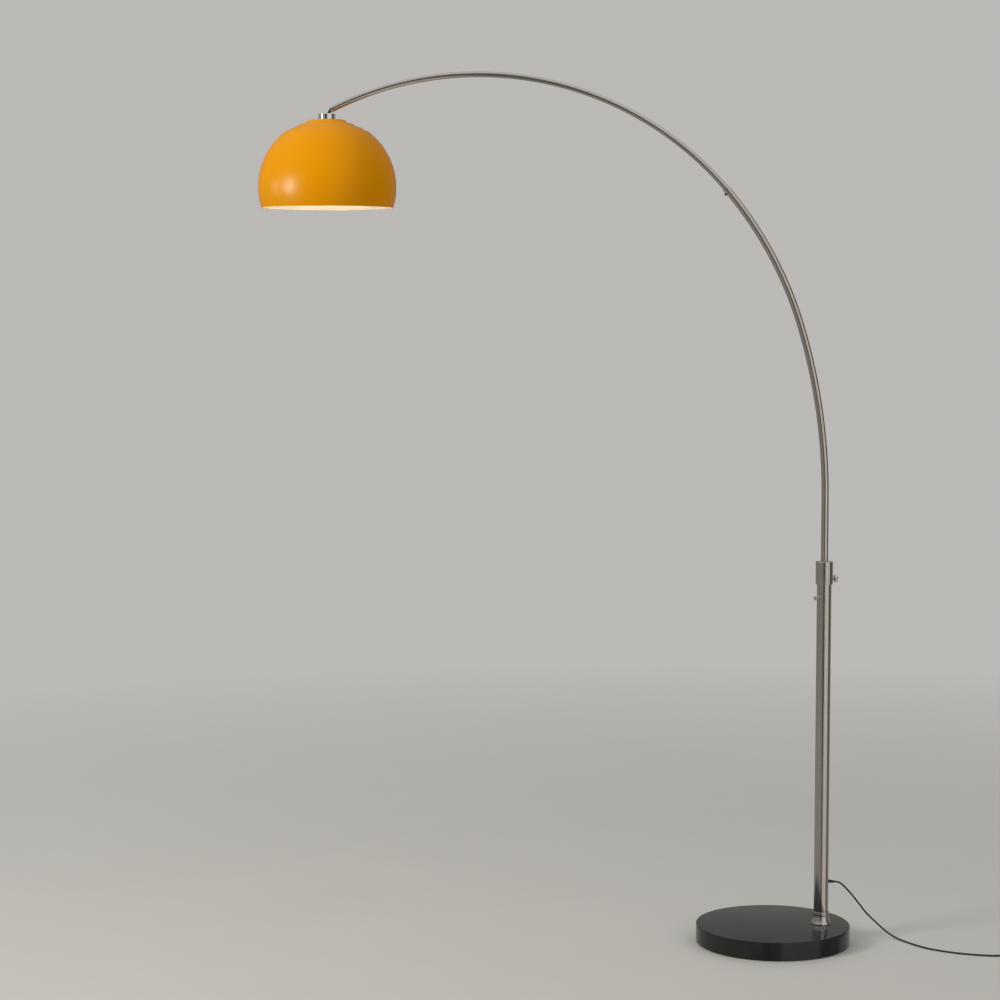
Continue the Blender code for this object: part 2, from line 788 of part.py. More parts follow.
def make_arm(paints, column):
    turned(
        "arm_guide_sleeve",
        ring(ARM_HOLE, GUIDE_RADIUS, SLEEVE_TOP_Z - SLEEVE_LENGTH, SLEEVE_TOP_Z),
        paints["nylon"],
        parent=column,
    )
    turned(
        "arm_foot_bush",
        ring(ARM_RADIUS + GAP, GUIDE_RADIUS, ARM_BOTTOM_Z, ARM_BOTTOM_Z + FOOT_BUSH_LENGTH),
        paints["nylon"],
        parent=column,
    )
    lower, upper = arm_frame()
    lower_tube = bent_tube(
        "lower_arc_tube",
        ARM_RADIUS,
        ARM_WALL,
        Vector((0, 0, ARM_BOTTOM_Z)),
        0.0,
        ARM_BEND_Z - ARM_BOTTOM_Z,
        lower,
        paints["brushed"],
        column,
    )
    last_centre, last_turn, last_point, last_heading = lower[-1]
    last_radius = ARM_LOWER_BENDS[-1][0]
    inside_turn = last_turn / bend_steps(last_turn)
    inside_heading = last_heading - inside_turn
    inside_start = last_centre + last_radius * across(inside_heading)
    bent_tube(
        "upper_arc_tube",
        UPPER_RADIUS,
        UPPER_WALL,
        inside_start,
        inside_heading,
        0.0,
        [(last_centre, inside_turn, last_point, last_heading), upper[0]],
        paints["brushed"],
        column,
    )
    make_joint_screw(paints, column, lower_tube, lower[-1])
    make_end_plug(paints, column, upper[0])
    make_arm_flex(paints, column, lower, upper)
    return upper[0][2] + PIVOT_OFFSET


def make_joint_screw(paints, column, lower_tube, last_bend):
    """A grub screw through the lower tube, on the inside of the bend, that holds the upper."""
    ahead, inwards = last_facet(last_bend)
    axis_point = last_bend[2] - ahead * JOINT_SCREW_BACK
    hole = cutter(
        "joint_screw_hole",
        spun(rod(JOINT_SCREW_RADIUS + GAP, UPPER_RADIUS, 2 * ARM_RADIUS), False, TUBE_SIDES),
        at=axis_point,
        turn=aim(inwards),
        parent=column,
    )
    boolean(lower_tube, hole)
    tip = UPPER_RADIUS + GAP
    face = ARM_RADIUS + GAP
    turned(
        "arc_joint_screw",
        [
            (0.0, tip),
            (JOINT_SCREW_RADIUS, tip),
            (JOINT_SCREW_RADIUS, face),
            (JOINT_SCREW_HEAD, face),
            (JOINT_SCREW_HEAD, face + JOINT_SCREW_RIM),
            (0.0, face + JOINT_SCREW_CROWN),
        ],
        paints["dark"],
        closed=False,
        sides=TUBE_SIDES,
        at=axis_point,
        turn=aim(inwards),
        parent=column,
    )


def make_end_plug(paints, column, last_bend):
    """The plug in the arm's end, with the flat lug that the swivel pin goes through."""
    end = last_bend[2]
    ahead, _ = last_facet(last_bend)
    link = Vector((PIVOT_OFFSET.x, PIVOT_OFFSET.z))
    side = Vector((-link.y, link.x)).normalized() * LUG_HALF_WIDTH
    start_angle = math.atan2(side.y, side.x)
    outline = []
    for around, foot in ((0.0, Vector((0.0, 0.0))), (math.pi, link)):
        for step in range(LUG_STEPS + 1):
            angle = start_angle + around + math.pi * step / LUG_STEPS
            spoke = Vector((math.cos(angle), math.sin(angle))) * LUG_HALF_WIDTH
            outline.append(foot + spoke)
    bm = bmesh.new()
    near = LUG_THICK / 2
    face = bm.faces.new([bm.verts.new((p.x, -near, p.y)) for p in outline])
    raised = bmesh.ops.extrude_face_region(bm, geom=[face])["geom"]
    moved = [item for item in raised if isinstance(item, bmesh.types.BMVert)]
    bmesh.ops.translate(bm, verts=moved, vec=(0, LUG_THICK, 0))
    lug = place(mesh_object("arm_end_plug", bm), paints["polished"], at=end, parent=column)
    body = cutter(
        "end_plug_body",
        spun(rod(UPPER_RADIUS - UPPER_WALL - GAP, 0.0, END_PLUG_LENGTH), False, TUBE_SIDES),
        at=end,
        turn=aim(-ahead),
        parent=column,
    )
    eye = cutter(
        "end_plug_eye",
        spun(rod(PIN_RADIUS + RUNNING, -LUG_THICK, LUG_THICK), False, TUBE_SIDES),
        at=end + PIVOT_OFFSET,
        turn=aim(Vector((0, 1, 0))),
        parent=column,
    )
    boolean(lug, body, "UNION")
    boolean(lug, eye)


def make_arm_flex(paints, column, lower, upper):
    """The flex that runs up the middle of both arc tubes."""
    points = [
        Vector((0, 0, ARM_BOTTOM_Z + step * FLEX_STRAIGHT_STEP))
        for step in range(FLEX_STRAIGHT_POINTS)
    ]
    heading = 0.0
    stop = END_PLUG_LENGTH + FLEX_END_CLEAR
    for (centre, turn, _, _), (radius, _) in zip(
        [*lower, *upper], [*ARM_LOWER_BENDS, ARM_UPPER_BEND]
    ):
        if centre is upper[0][0]:
            turn -= stop / radius
        count = max(1, round(turn * radius / FLEX_SPACING))
        for step in range(1 if heading else 0, count + 1):
            points.append(centre + radius * across(heading + turn * step / count))
        heading += turn
    cable("flex_in_arm", points, paints["flex"], parent=column)


def make_swivel(paints, pivot):
    bottom = -(LUG_HALF_WIDTH + SLOT_CLEAR + CAP_FLOOR)
    cap = turned(
        "swivel_cap",
        [
            (NIPPLE_RADIUS + GAP, bottom),
            (CAP_RADIUS, bottom),
            (CAP_RADIUS, CAP_ABOVE_PIVOT - CAP_EDGE),
            (CAP_RADIUS - CAP_EDGE, CAP_ABOVE_PIVOT),
            (NIPPLE_RADIUS + GAP, CAP_ABOVE_PIVOT),
        ],
        paints["polished"],
        sides=FINE_SIDES,
        parent=pivot,
    )
    slot_bm = bmesh.new()
    bmesh.ops.create_cube(slot_bm, size=1.0)
    slot_floor = bottom + CAP_FLOOR
    slot_top = 2 * CAP_ABOVE_PIVOT
    bmesh.ops.scale(
        slot_bm,
        verts=slot_bm.verts,
        vec=(2 * CAP_SLOT_HALF, LUG_THICK + 2 * RUNNING, slot_top - slot_floor),
    )
    bmesh.ops.translate(slot_bm, verts=slot_bm.verts, vec=(0, 0, (slot_top + slot_floor) / 2))
    slot = cutter("cap_slot", slot_bm, parent=pivot)
    pin_hole = cutter(
        "cap_pin_hole",
        spun(rod(PIN_RADIUS + GAP, -PIN_FRONT - GAP, 2 * CAP_RADIUS), False, TUBE_SIDES),
        turn=aim(Vector((0, 1, 0))),
        parent=pivot,
    )
    boolean(cap, slot)
    boolean(cap, pin_hole)
    turned(
        "swivel_pin",
        rod(PIN_RADIUS, -PIN_FRONT, CAP_RADIUS - PIN_RECESS),
        paints["zinc"],
        closed=False,
        sides=TUBE_SIDES,
        turn=aim(Vector((0, 1, 0))),
        parent=pivot,
    )
    return bottom - GAP


def shade_profile(top):
    """Outer then inner wall of the dome: flat top, three turned steps, then a true sphere."""
    centre = top - math.sqrt(SHADE_RADIUS**2 - SHADE_FLAT_RADIUS**2)
    outer = [(NIPPLE_RADIUS + GAP, top)]
    for radius, inset in ((SHADE_FLAT_RADIUS, 0.0), *SHADE_STEPS):
        outer.append((radius, centre + math.sqrt(SHADE_RADIUS**2 - radius**2) - inset))
    inner = [(radius, height - SHADE_WALL) for radius, height in outer]
    start = math.acos(SHADE_DOME_RADIUS / SHADE_RADIUS)
    rim = -math.asin(SHADE_RIM_DROP / SHADE_RADIUS)
    for step in range(SHADE_ARC_STEPS + 1):
        angle = start + (rim - start) * step / SHADE_ARC_STEPS
        for wall, radius in ((outer, SHADE_RADIUS), (inner, SHADE_RADIUS - SHADE_WALL)):
            wall.append((radius * math.cos(angle), centre + radius * math.sin(angle)))
    return outer + inner[::-1]


def make_head(paints, pivot):
    shade_top = make_swivel(paints, pivot)
    turned("shade", shade_profile(shade_top), paints["shade"], sides=FINE_SIDES, parent=pivot)
    nipple_top = -LUG_HALF_WIDTH - 2 * SLOT_CLEAR
    turned(
        "threaded_nipple",
        ring(NIPPLE_BORE, NIPPLE_RADIUS, nipple_top - NIPPLE_LENGTH, nipple_top),
        paints["brass"],
        sides=TUBE_SIDES,
        parent=pivot,
    )
    nut_top = shade_top - SHADE_WALL - GAP
    nut_bottom = nut_top - NUT_THICK
    nut = spun(ring(NIPPLE_RADIUS + GAP, NUT_FLATS / 2, nut_bottom, nut_top), True, SIDES)
    make_hexagonal(nut, nut_bottom, nut_top, NUT_FLATS)
    place(mesh_object("shade_nut", nut), paints["zinc"], parent=pivot)
    skirt_top = make_holder(paints, pivot, nut_bottom - GAP)
    cable(
        "flex_in_head",
        [Vector((0, 0, nipple_top - GAP)), Vector((0, 0, skirt_top + GAP))],
        paints["flex"],
        parent=pivot,
    )


def make_holder(paints, pivot, top):
    """The lampholder: domed cap, skirt, insulator, screw shell and contact, and the bulb."""
    skirt_top = top - HOLDER_CAP_HEIGHT - GAP
    dome = [
        (NIPPLE_RADIUS + GAP, top),
        *((radius, top - drop) for radius, drop in HOLDER_DOME_OUTSIDE),
        (HOLDER_RADIUS, top - HOLDER_SHOULDER_DROP),
        (HOLDER_RADIUS, top - HOLDER_CAP_HEIGHT),
        (HOLDER_RADIUS - HOLDER_WALL, top - HOLDER_CAP_HEIGHT),
        (HOLDER_RADIUS - HOLDER_WALL, top - HOLDER_SHOULDER_DROP - HOLDER_WALL / 2),
        *((radius, top - drop) for radius, drop in HOLDER_DOME_INSIDE),
        (NIPPLE_RADIUS + GAP, top - HOLDER_CEILING_DROP),
    ]
    turned("lampholder_cap", dome, paints["holder"], parent=pivot)
    skirt_bottom = skirt_top - HOLDER_SKIRT_LENGTH
    skirt_bore = HOLDER_RADIUS - HOLDER_WALL
    turned(
        "lampholder_skirt",
        ring(skirt_bore, HOLDER_RADIUS, skirt_bottom, skirt_top),
        paints["holder"],
        parent=pivot,
    )
    core_bottom = skirt_top - CORE_THICK
    turned(
        "lampholder_core",
        rod(skirt_bore - GAP, core_bottom, skirt_top),
        paints["ceramic"],
        closed=False,
        parent=pivot,
    )
    shell_top = core_bottom - GAP
    turned(
        "lampholder_shell",
        ring(SHELL_RADIUS, SHELL_RADIUS + SHELL_WALL, shell_top - SHELL_LENGTH, shell_top),
        paints["brass"],
        parent=pivot,
    )
    contact_bottom = shell_top - CONTACT_THICK
    turned(
        "lampholder_contact",
        rod(CONTACT_RADIUS, contact_bottom, shell_top),
        paints["brass"],
        closed=False,
        sides=TUBE_SIDES,
        parent=pivot,
    )
    make_bulb(paints, pivot, contact_bottom - GAP)
    return skirt_top


def make_bulb(paints, pivot, tip):
    low = tip - BULB_CAP_LENGTH
    turned(
        "bulb_cap",
        [
            (0.0, tip),
            (CONTACT_RADIUS, tip),
            (BULB_CAP_RADIUS * BULB_CAP_NOSE_SHARE, tip - BULB_CAP_NOSE_DROP),
            (BULB_CAP_RADIUS, tip - BULB_CAP_SHOULDER_DROP),
            (BULB_CAP_RADIUS, low),
            (0.0, low),
        ],
        paints["brass"],
        closed=False,
        parent=pivot,
    )
    neck = low - GAP
    centre = neck - BULB_NECK_LENGTH
    outer = []
    for step in range(BULB_STEPS):
        t = step / BULB_STEPS
        ease = t * t * (3 - 2 * t)
        radius = BULB_NECK_RADIUS + (BULB_RADIUS - BULB_NECK_RADIUS) * ease
        outer.append((radius, neck + (centre - neck) * t))
    for step in range(BULB_STEPS):
        angle = math.pi / 2 * step / BULB_STEPS
        outer.append((BULB_RADIUS * math.cos(angle), centre - BULB_RADIUS * math.sin(angle)))
    inner = [(radius - BULB_WALL, min(height, neck)) for radius, height in outer]
    outer.append((0.0, centre - BULB_RADIUS))
    inner.append((0.0, centre - BULB_RADIUS + BULB_WALL))
    hollow = [inner[-1], *inner[-2::-1], *outer]
    turned(
        "bulb_glass", hollow, paints["bulb"], closed=False, sides=TUBE_SIDES, parent=pivot
    )


def make_cord(paints):
    """The mains lead: grommet, free cord, foot switch, coil with its tie, and plug."""
    heading = exit_direction()
    root = Vector((COLUMN_X, 0, CORD_EXIT_Z))
    flange = COLUMN_RADIUS + 4 * GAP
    taper = flange + GROMMET_FLANGE_THICK
    end = taper + GROMMET_TAPER
    turned(
        "cord_grommet",
        [
            (0.0, COLUMN_BORE - GROMMET_TAIL),
            (GROMMET_RADIUS, COLUMN_BORE - GROMMET_TAIL),
            (GROMMET_RADIUS, flange),
            (GROMMET_FLANGE, flange),
            (GROMMET_FLANGE, taper),
            (CORD_RADIUS * GROMMET_WIDE_SHARE, taper + GROMMET_SHOULDER),
            (CORD_RADIUS * GROMMET_NARROW_SHARE, end),
            (0.0, end),
        ],
        paints["rubber"],
        closed=False,
        sides=TUBE_SIDES,
        at=root,
        turn=aim(heading),
    )
    start = root + heading * (COLUMN_BORE - GROMMET_TAIL - GAP)
    inner = [start - heading * CORD_STUB / 2]
    inner += [root + Vector(offset) for offset in FLEX_BEND]
    top = root + Vector((0, 0, FLEX_TOP_RISE))
    cable("flex_in_column", [start, *smooth_route(inner, 2 * CORD_RADIUS), top], paints["flex"])
    leaving = root + heading * (end + GAP)
    along = flat_direction(SWITCH_ANGLE)
    cord_height = Vector((0, 0, SWITCH_CORD_HEIGHT))
    entry = SWITCH_START - along * GAP + cord_height
    lead = free_route(leaving, heading, LEAD_ROUTE, entry, along)
    cable("cord_lead", lead, paints["cord"])
    make_switch(paints, along)
    leaves = SWITCH_START + along * (SWITCH_LENGTH + GAP) + cord_height
    into_coil = (COIL_ENTRY - TAIL_ROUTE[-1]).normalized()
    tail = free_route(leaves, along, TAIL_ROUTE, COIL_ENTRY, into_coil)
    cable("cord_tail", tail, paints["cord"])
    make_coil(paints)
    relief_back = PLUG_BACK - Vector((0, PLUG_RELIEF_LENGTH + 2 * GAP, -PLUG_HEIGHT / 2))
    from_coil = (END_ROUTE[0] - COIL_EXIT).normalized()
    end = free_route(COIL_EXIT, from_coil, END_ROUTE, relief_back, Vector((0, 1, 0)))
    cable("cord_end", end, paints["cord"])
    make_plug(paints, relief_back)


def make_switch(paints, along):
    half = SWITCH_WIDTH / 2
    corners = [(0, -half), (SWITCH_LENGTH, -half), (SWITCH_LENGTH, half), (0, half)]
    outline = round_corners(corners, SWITCH_WIDTH * SWITCH_CORNER_SHARE)
    turn = (0, 0, SWITCH_ANGLE)
    lower = mesh_object("switch_base", extruded(outline, SWITCH_BASE_HEIGHT, SWITCH_BASE_EDGE))
    place(lower, paints["gloss_black"], at=SWITCH_START, turn=turn)
    cover_low = SWITCH_BASE_HEIGHT + GAP
    shell = extruded(outline, SWITCH_HEIGHT - cover_low, SWITCH_COVER_EDGE)
    cover = mesh_object("switch_cover", shell)
    place(
        cover,
        paints["gloss_black"],
        at=SWITCH_START + Vector((0, 0, cover_low)),
        turn=turn,
    )
    middle = SWITCH_START + along * SWITCH_LENGTH / 2
    ledge = SWITCH_HEIGHT - SWITCH_TOP_WALL
    well = BUTTON_FLANGE + 4 * GAP
    pocket = cutter(
        "switch_pocket",
        spun(
            [
                (0.0, -GAP),
                (well, -GAP),
                (well, ledge),
                (BUTTON_RADIUS + RUNNING, ledge),
                (BUTTON_RADIUS + RUNNING, 2 * SWITCH_HEIGHT),
                (0.0, 2 * SWITCH_HEIGHT),
            ],
            False,
            SIDES,
        ),
        at=middle,
    )
    boolean(cover, pocket)
    flange_top = ledge - GAP
    top = SWITCH_HEIGHT + BUTTON_PROUD
    turned(
        "switch_button",
        [
            (0.0, flange_top - BUTTON_FLANGE_THICK),
            (BUTTON_FLANGE, flange_top - BUTTON_FLANGE_THICK),
            (BUTTON_FLANGE, flange_top),
            (BUTTON_RADIUS, flange_top),
            (BUTTON_RADIUS, top - BUTTON_EDGE),
            (BUTTON_RADIUS - BUTTON_EDGE, top),
            (0.0, top - BUTTON_DISH),
        ],
        paints["gloss_black"],
        closed=False,
        at=middle,
    )


def make_coil(paints):
    low = TIE_THICK + TIE_CLEAR
    high = low + 2 * COIL_HALF
    inner = COIL_MID_RADIUS - COIL_HALF
    outer = COIL_MID_RADIUS + COIL_HALF
    edge = COIL_HALF * COIL_EDGE_SHARE
    profile = [
        (inner, low + edge),
        (inner + edge, low),
        (outer - edge, low),
        (outer, low + edge),
        (outer, high - edge),
        (outer - edge, high),
        (inner + edge, high),
        (inner, high - edge),
    ]
    turned("cord_coil", profile, paints["cord"], at=COIL_CENTRE)
    diagonal = math.sqrt(2)
    bore = (COIL_HALF + TIE_CLEAR) * diagonal
    band = spun(
        ring(bore, bore + TIE_THICK * diagonal, -TIE_WIDTH / 2, TIE_WIDTH / 2), True, 4
    )
    upright = Matrix.Rotation(math.pi / 2, 3, "X") @ Matrix.Rotation(math.tau / 8, 3, "Z")
    bmesh.ops.rotate(band, verts=band.verts, cent=(0, 0, 0), matrix=upright)
    middle = COIL_CENTRE + flat_direction(TIE_ANGLE) * COIL_MID_RADIUS
    place(
        mesh_object("coil_tie", band),
        paints["rubber"],
        at=middle + Vector((0, 0, (low + high) / 2)),
        turn=(0, 0, TIE_ANGLE),
    )


def make_plug(paints, relief_back):
    turned(
        "plug_relief",
        [
            (0.0, GAP),
            (CORD_RADIUS * PLUG_RELIEF_NARROW_SHARE, GAP),
            (CORD_RADIUS * PLUG_RELIEF_WIDE_SHARE, PLUG_RELIEF_LENGTH),
            (0.0, PLUG_RELIEF_LENGTH),
        ],
        paints["rubber"],
        closed=False,
        sides=TUBE_SIDES,
        at=relief_back,
        turn=aim(Vector((0, 1, 0))),
    )
    wide = PLUG_WIDTH / 2
    narrow = PLUG_NARROW / 2
    shoulder = PLUG_LENGTH * PLUG_SHOULDER_SHARE
    corners = [
        (-narrow, 0),
        (narrow, 0),
        (wide, shoulder),
        (wide, PLUG_LENGTH),
        (-wide, PLUG_LENGTH),
        (-wide, shoulder),
    ]
    outline = round_corners(corners, PLUG_CORNER, steps=3)
    body = mesh_object("plug_body", extruded(outline, PLUG_HEIGHT, PLUG_EDGE))
    place(body, paints["gloss_black"], at=PLUG_BACK)
    for number, side in ((1, -1), (2, 1)):
        turned(
            f"plug_pin_{number}",
            bevelled_rod(PLUG_PIN_RADIUS, GAP, PLUG_PIN_LENGTH, PLUG_PIN_RADIUS / 2),
            paints["brass"],
            closed=False,
            sides=TUBE_SIDES,
            at=PLUG_BACK + Vector((side * PLUG_PIN_SPREAD / 2, PLUG_LENGTH, PLUG_HEIGHT / 2)),
            turn=aim(Vector((0, 1, 0))),
        )


def make_paints():
    return {
        "stone": paint("polished black stone", (0.030, 0.030, 0.031), 0.12),
        "felt": paint("felt pad", (0.05, 0.05, 0.05), 0.95),
        "brushed": paint("brushed steel", (0.56, 0.53, 0.50), 0.34, 1.0),
        "polished": paint("polished steel", (0.78, 0.77, 0.75), 0.14, 1.0),
        "zinc": paint("zinc plated steel", (0.60, 0.60, 0.58), 0.35, 1.0),
        "dark": paint("dark steel", (0.06, 0.055, 0.05), 0.4, 1.0),
        "nylon": paint("nylon", (0.72, 0.71, 0.67), 0.5),
        "shade": paint("yellow orange lacquer", (0.78, 0.36, 0.004), 0.34),
        "brass": paint("brass", (0.75, 0.55, 0.22), 0.3, 1.0),
        "holder": paint("white holder plastic", (0.80, 0.78, 0.72), 0.45),
        "ceramic": paint("holder ceramic", (0.85, 0.84, 0.80), 0.4),
        "bulb": paint("frosted bulb glass", (0.95, 0.92, 0.84), 0.35),
        "rubber": paint("black rubber", (0.02, 0.02, 0.02), 0.75),
        "cord": paint("black cord", (0.018, 0.018, 0.018), 0.5),
        "flex": paint("inner flex", (0.75, 0.73, 0.68), 0.5),
        "gloss_black": paint("black plastic", (0.02, 0.02, 0.022), 0.3),
    }


def build():
    clear_scene()
    paints = make_paints()
    column = empty("column_axis", (COLUMN_X, 0, 0))
    make_base(paints)
    make_column(paints, column)
    make_clamp_screws(paints, column)
    pivot_place = make_arm(paints, column)
    pivot = empty("shade_pivot", pivot_place, parent=column)
    make_head(paints, pivot)
    make_cord(paints)


build()
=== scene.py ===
# %% [markdown]
# # An arc floor lamp, dressed
# The lamp is a thick round slab of polished black stone, a satin steel column near its edge,
# a bent two-part arm that slides and turns in the column, and a spun dome shade at the
# arm's end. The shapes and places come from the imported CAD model, so this script starts by
# loading it as a frame, then makes a finer piece for each part that shows and gives every
# part its finish.

import json
import math

import bmesh
import bpy
from mathutils import Matrix, Vector


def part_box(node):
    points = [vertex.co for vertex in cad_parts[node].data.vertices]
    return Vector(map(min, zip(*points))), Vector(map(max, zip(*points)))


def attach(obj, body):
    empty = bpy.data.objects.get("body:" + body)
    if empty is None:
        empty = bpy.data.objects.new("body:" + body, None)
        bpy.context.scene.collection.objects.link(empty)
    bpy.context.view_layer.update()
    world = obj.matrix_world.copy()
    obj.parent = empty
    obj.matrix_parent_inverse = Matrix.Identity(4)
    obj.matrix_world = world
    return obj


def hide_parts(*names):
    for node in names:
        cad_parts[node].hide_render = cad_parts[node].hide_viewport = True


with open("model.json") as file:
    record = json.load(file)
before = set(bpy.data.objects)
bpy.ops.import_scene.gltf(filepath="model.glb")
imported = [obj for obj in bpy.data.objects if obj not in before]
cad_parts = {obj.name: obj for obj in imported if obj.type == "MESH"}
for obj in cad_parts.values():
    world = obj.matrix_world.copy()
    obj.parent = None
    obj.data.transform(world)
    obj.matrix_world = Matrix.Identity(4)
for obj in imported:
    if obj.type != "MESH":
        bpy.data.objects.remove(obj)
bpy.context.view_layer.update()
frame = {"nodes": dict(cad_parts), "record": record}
NODES = frame["nodes"]
BODIES = frame["record"]["behaviour"]["bodies"]
HOME = {node: body for body, nodes in BODIES.items() for node in nodes}
scene = bpy.context.scene

# %% [markdown]
# The camera stands a little below the shade and looks slightly down, far enough away for
# the whole lamp to fit with a long lens. It could be aimed with a constraint, but two plain
# numbers, a place and a pitch, are easier to read and to change.

# %% Camera
LENS = 89.7
CAMERA_PLACE = Vector((-0.6067, -5.4527, 1.4204))
CAMERA_PITCH = math.radians(4.549)

camera = bpy.data.objects.new("camera", bpy.data.cameras.new("camera"))
camera.data.lens = LENS
camera.location = CAMERA_PLACE
camera.rotation_euler = (math.pi / 2 - CAMERA_PITCH, 0, 0)
scene.collection.objects.link(camera)
scene.camera = camera
print(f"camera {LENS} mm at {CAMERA_PLACE}")

# %% [markdown]
# Every piece made here goes through one helper. It puts the bmesh where it belongs, keeps
# the object itself at the origin, unturned and unscaled, smooths the curved faces, sets it
# riding on the body of the CAD node it stands for, and, unless told not to, hides that node.

# %% Helpers for pieces
MERGE = 0.000001
CREASE = math.radians(32)
FULL_TURN = math.tau
RIGHT, SIDEWAYS, UP = Vector((1, 0, 0)), Vector((0, 1, 0)), Vector((0, 0, 1))


def piece(name, bm, node, place, *finishes, stands_in=True):
    """Put a mesh in place as a named piece that rides with a CAD node and stands for it."""
    if isinstance(place, Vector):
        place = Matrix.Translation(place)
    if place:
        bmesh.ops.transform(bm, matrix=place, verts=bm.verts)
    mesh = bpy.data.meshes.new(name)
    bm.to_mesh(mesh)
    bm.free()
    mesh.shade_smooth()
    mesh.set_sharp_from_angle(angle=CREASE)
    made = bpy.data.objects.new(name, mesh)
    scene.collection.objects.link(made)
    for finish in finishes:
        mesh.materials.append(finish)
    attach(made, HOME[node])
    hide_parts(*([node] if stands_in else []))
    print(f"{name}: {len(mesh.polygons)} faces on {HOME[node]}")
    return made


def upright(node):
    """The axis, radius, lowest and highest point of a CAD piece turned about an upright axis."""
    low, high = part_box(node)
    axis = Vector(((low.x + high.x) / 2, (low.y + high.y) / 2, 0))
    return axis, (high.x - low.x) / 2, low.z, high.z


def aimed(place, direction):
    """A matrix that lays a piece turned about Z along a direction."""
    turn = UP.rotation_difference(direction)
    return Matrix.Translation(place) @ turn.to_matrix().to_4x4()


# %% [markdown]
# Nearly everything on a lamp like this is turned or spun, so the main tool is a lathe. An
# outline of radius and height is drawn once and spun about Z. Real turned parts have no
# knife edges, and a highlight along an edge is what makes metal look solid, so each corner
# of an outline can carry a small rounding, which is replaced by a short arc before the spin.

# %% The lathe
EASE_STEPS = 3


def eased(outline, closed=False, steps=EASE_STEPS):
    """Points of an outline of (radius, height, rounding), each rounding made an arc."""
    made = []
    last = len(outline) - 1
    for index, (radius, height, rounding) in enumerate(outline):
        here = Vector((radius, height))
        if not rounding or (not closed and index in (0, last)):
            made.append((radius, height))
            continue
        back = (Vector(outline[index - 1][:2]) - here).normalized()
        ahead = (Vector(outline[(index + 1) % len(outline)][:2]) - here).normalized()
        half = back.angle(ahead) / 2
        centre = here + (back + ahead).normalized() * rounding / math.sin(half)
        first = here + back * rounding / math.tan(half) - centre
        final = here + ahead * rounding / math.tan(half) - centre
        for step in range(steps + 1):
            spoke = first.lerp(final, step / steps).normalized() * rounding
            made.append(tuple(centre + spoke))
    return made


def lathe(points, sides, closed=False):
    """Spin an outline about Z; an open one starts and ends on the axis."""
    bm = bmesh.new()
    verts = [bm.verts.new((radius, 0.0, height)) for radius, height in points]
    edges = [bm.edges.new(pair) for pair in zip(verts, verts[1:])]
    if closed:
        edges.append(bm.edges.new((verts[-1], verts[0])))
    bmesh.ops.spin(
        bm,
        geom=verts + edges,
        cent=(0, 0, 0),
        axis=(0, 0, 1),
        angle=FULL_TURN,
        steps=sides,
        use_merge=True,
        use_duplicate=False,
    )
    bmesh.ops.remove_doubles(bm, verts=bm.verts, dist=MERGE)
    bmesh.ops.recalc_face_normals(bm, faces=bm.faces)
    return bm


def turned(outline, sides, closed=False, steps=EASE_STEPS):
    """Ease an outline of (radius, height, rounding) and spin it."""
    return lathe(eased(outline, closed, steps), sides, closed)


def arc(centre, radius, start, end, steps):
    """Points of (radius, height) along an arc, from one angle to another."""
    angles = [start + (end - start) * step / steps for step in range(steps + 1)]
    return [
        (centre[0] + radius * math.cos(angle), centre[1] + radius * math.sin(angle))
        for angle in angles
    ]


# %% [markdown]
# Holes are drilled with Blender's exact Boolean. The tool is a second mesh; the result is
# taken from the modifier at once and the tool is deleted, so that the finished piece is
# plain mesh with nothing live left on it.

# %% Drilling and sawing
def cut(bm, tool_bm):
    """Take one mesh away from another and give back the result."""
    made = []
    for title, source in (("work", bm), ("tool", tool_bm)):
        mesh = bpy.data.meshes.new(title)
        source.to_mesh(mesh)
        source.free()
        made.append(bpy.data.objects.new(title, mesh))
        scene.collection.objects.link(made[-1])
    work, tool = made
    modifier = work.modifiers.new("cut", "BOOLEAN")
    modifier.operation = "DIFFERENCE"
    modifier.solver = "EXACT"
    modifier.object = tool
    bpy.context.view_layer.update()
    seen = work.evaluated_get(bpy.context.evaluated_depsgraph_get())
    result = bmesh.new()
    result.from_mesh(seen.to_mesh())
    seen.to_mesh_clear()
    for obj in made:
        bpy.data.objects.remove(obj, do_unlink=True)
    return result


def drilled(bm, radius, low, high, place, direction, sides=32):
    """Drill a round hole along a direction, from low to high past a place."""
    rod = lathe([(0, low), (radius, low), (radius, high), (0, high)], sides)
    bmesh.ops.transform(rod, matrix=aimed(place, direction), verts=rod.verts)
    return cut(bm, rod)


# %% [markdown]
# Flat pieces start as a sheet of faces that is drawn out into a solid, and their long edges
# are rolled over with the bevel operator, as a mould or a press leaves them.

# %% Drawing out and rolling edges
EDGE_BREAK = 0.0003


def grown_verts(result):
    return [item for item in result if isinstance(item, bmesh.types.BMVert)]


def draw_out(bm, way):
    """Extrude all faces of a sheet into a solid."""
    grown = bmesh.ops.extrude_face_region(bm, geom=list(bm.faces))["geom"]
    bmesh.ops.translate(bm, verts=grown_verts(grown), vec=way)
    bmesh.ops.recalc_face_normals(bm, faces=bm.faces)


def break_edges(obj, angle):
    """Break every edge sharper than an angle, in degrees, with a live Bevel modifier."""
    edge = obj.modifiers.new("broken edges", "BEVEL")
    edge.width = EDGE_BREAK
    edge.segments = 2
    edge.limit_method = "ANGLE"
    edge.angle_limit = math.radians(angle)
    return obj


def roll_over(bm, edges, offset, segments):
    bmesh.ops.bevel(
        bm,
        geom=edges,
        offset=offset,
        offset_type="OFFSET",
        segments=segments,
        profile=0.5,
        affect="EDGES",
        material=-1,
        clamp_overlap=True,
    )


# %% [markdown]
# ## Finishes
# Each finish is one Principled shader with a few small patterns feeding it. The patterns
# that several finishes share are node groups: fine brush marks, the faint smudges that
# hands leave, the pebbly skin of lacquer and moulded plastic, and the paler wear along
# edges. A group only hands out masks and heights; each material decides what they do.

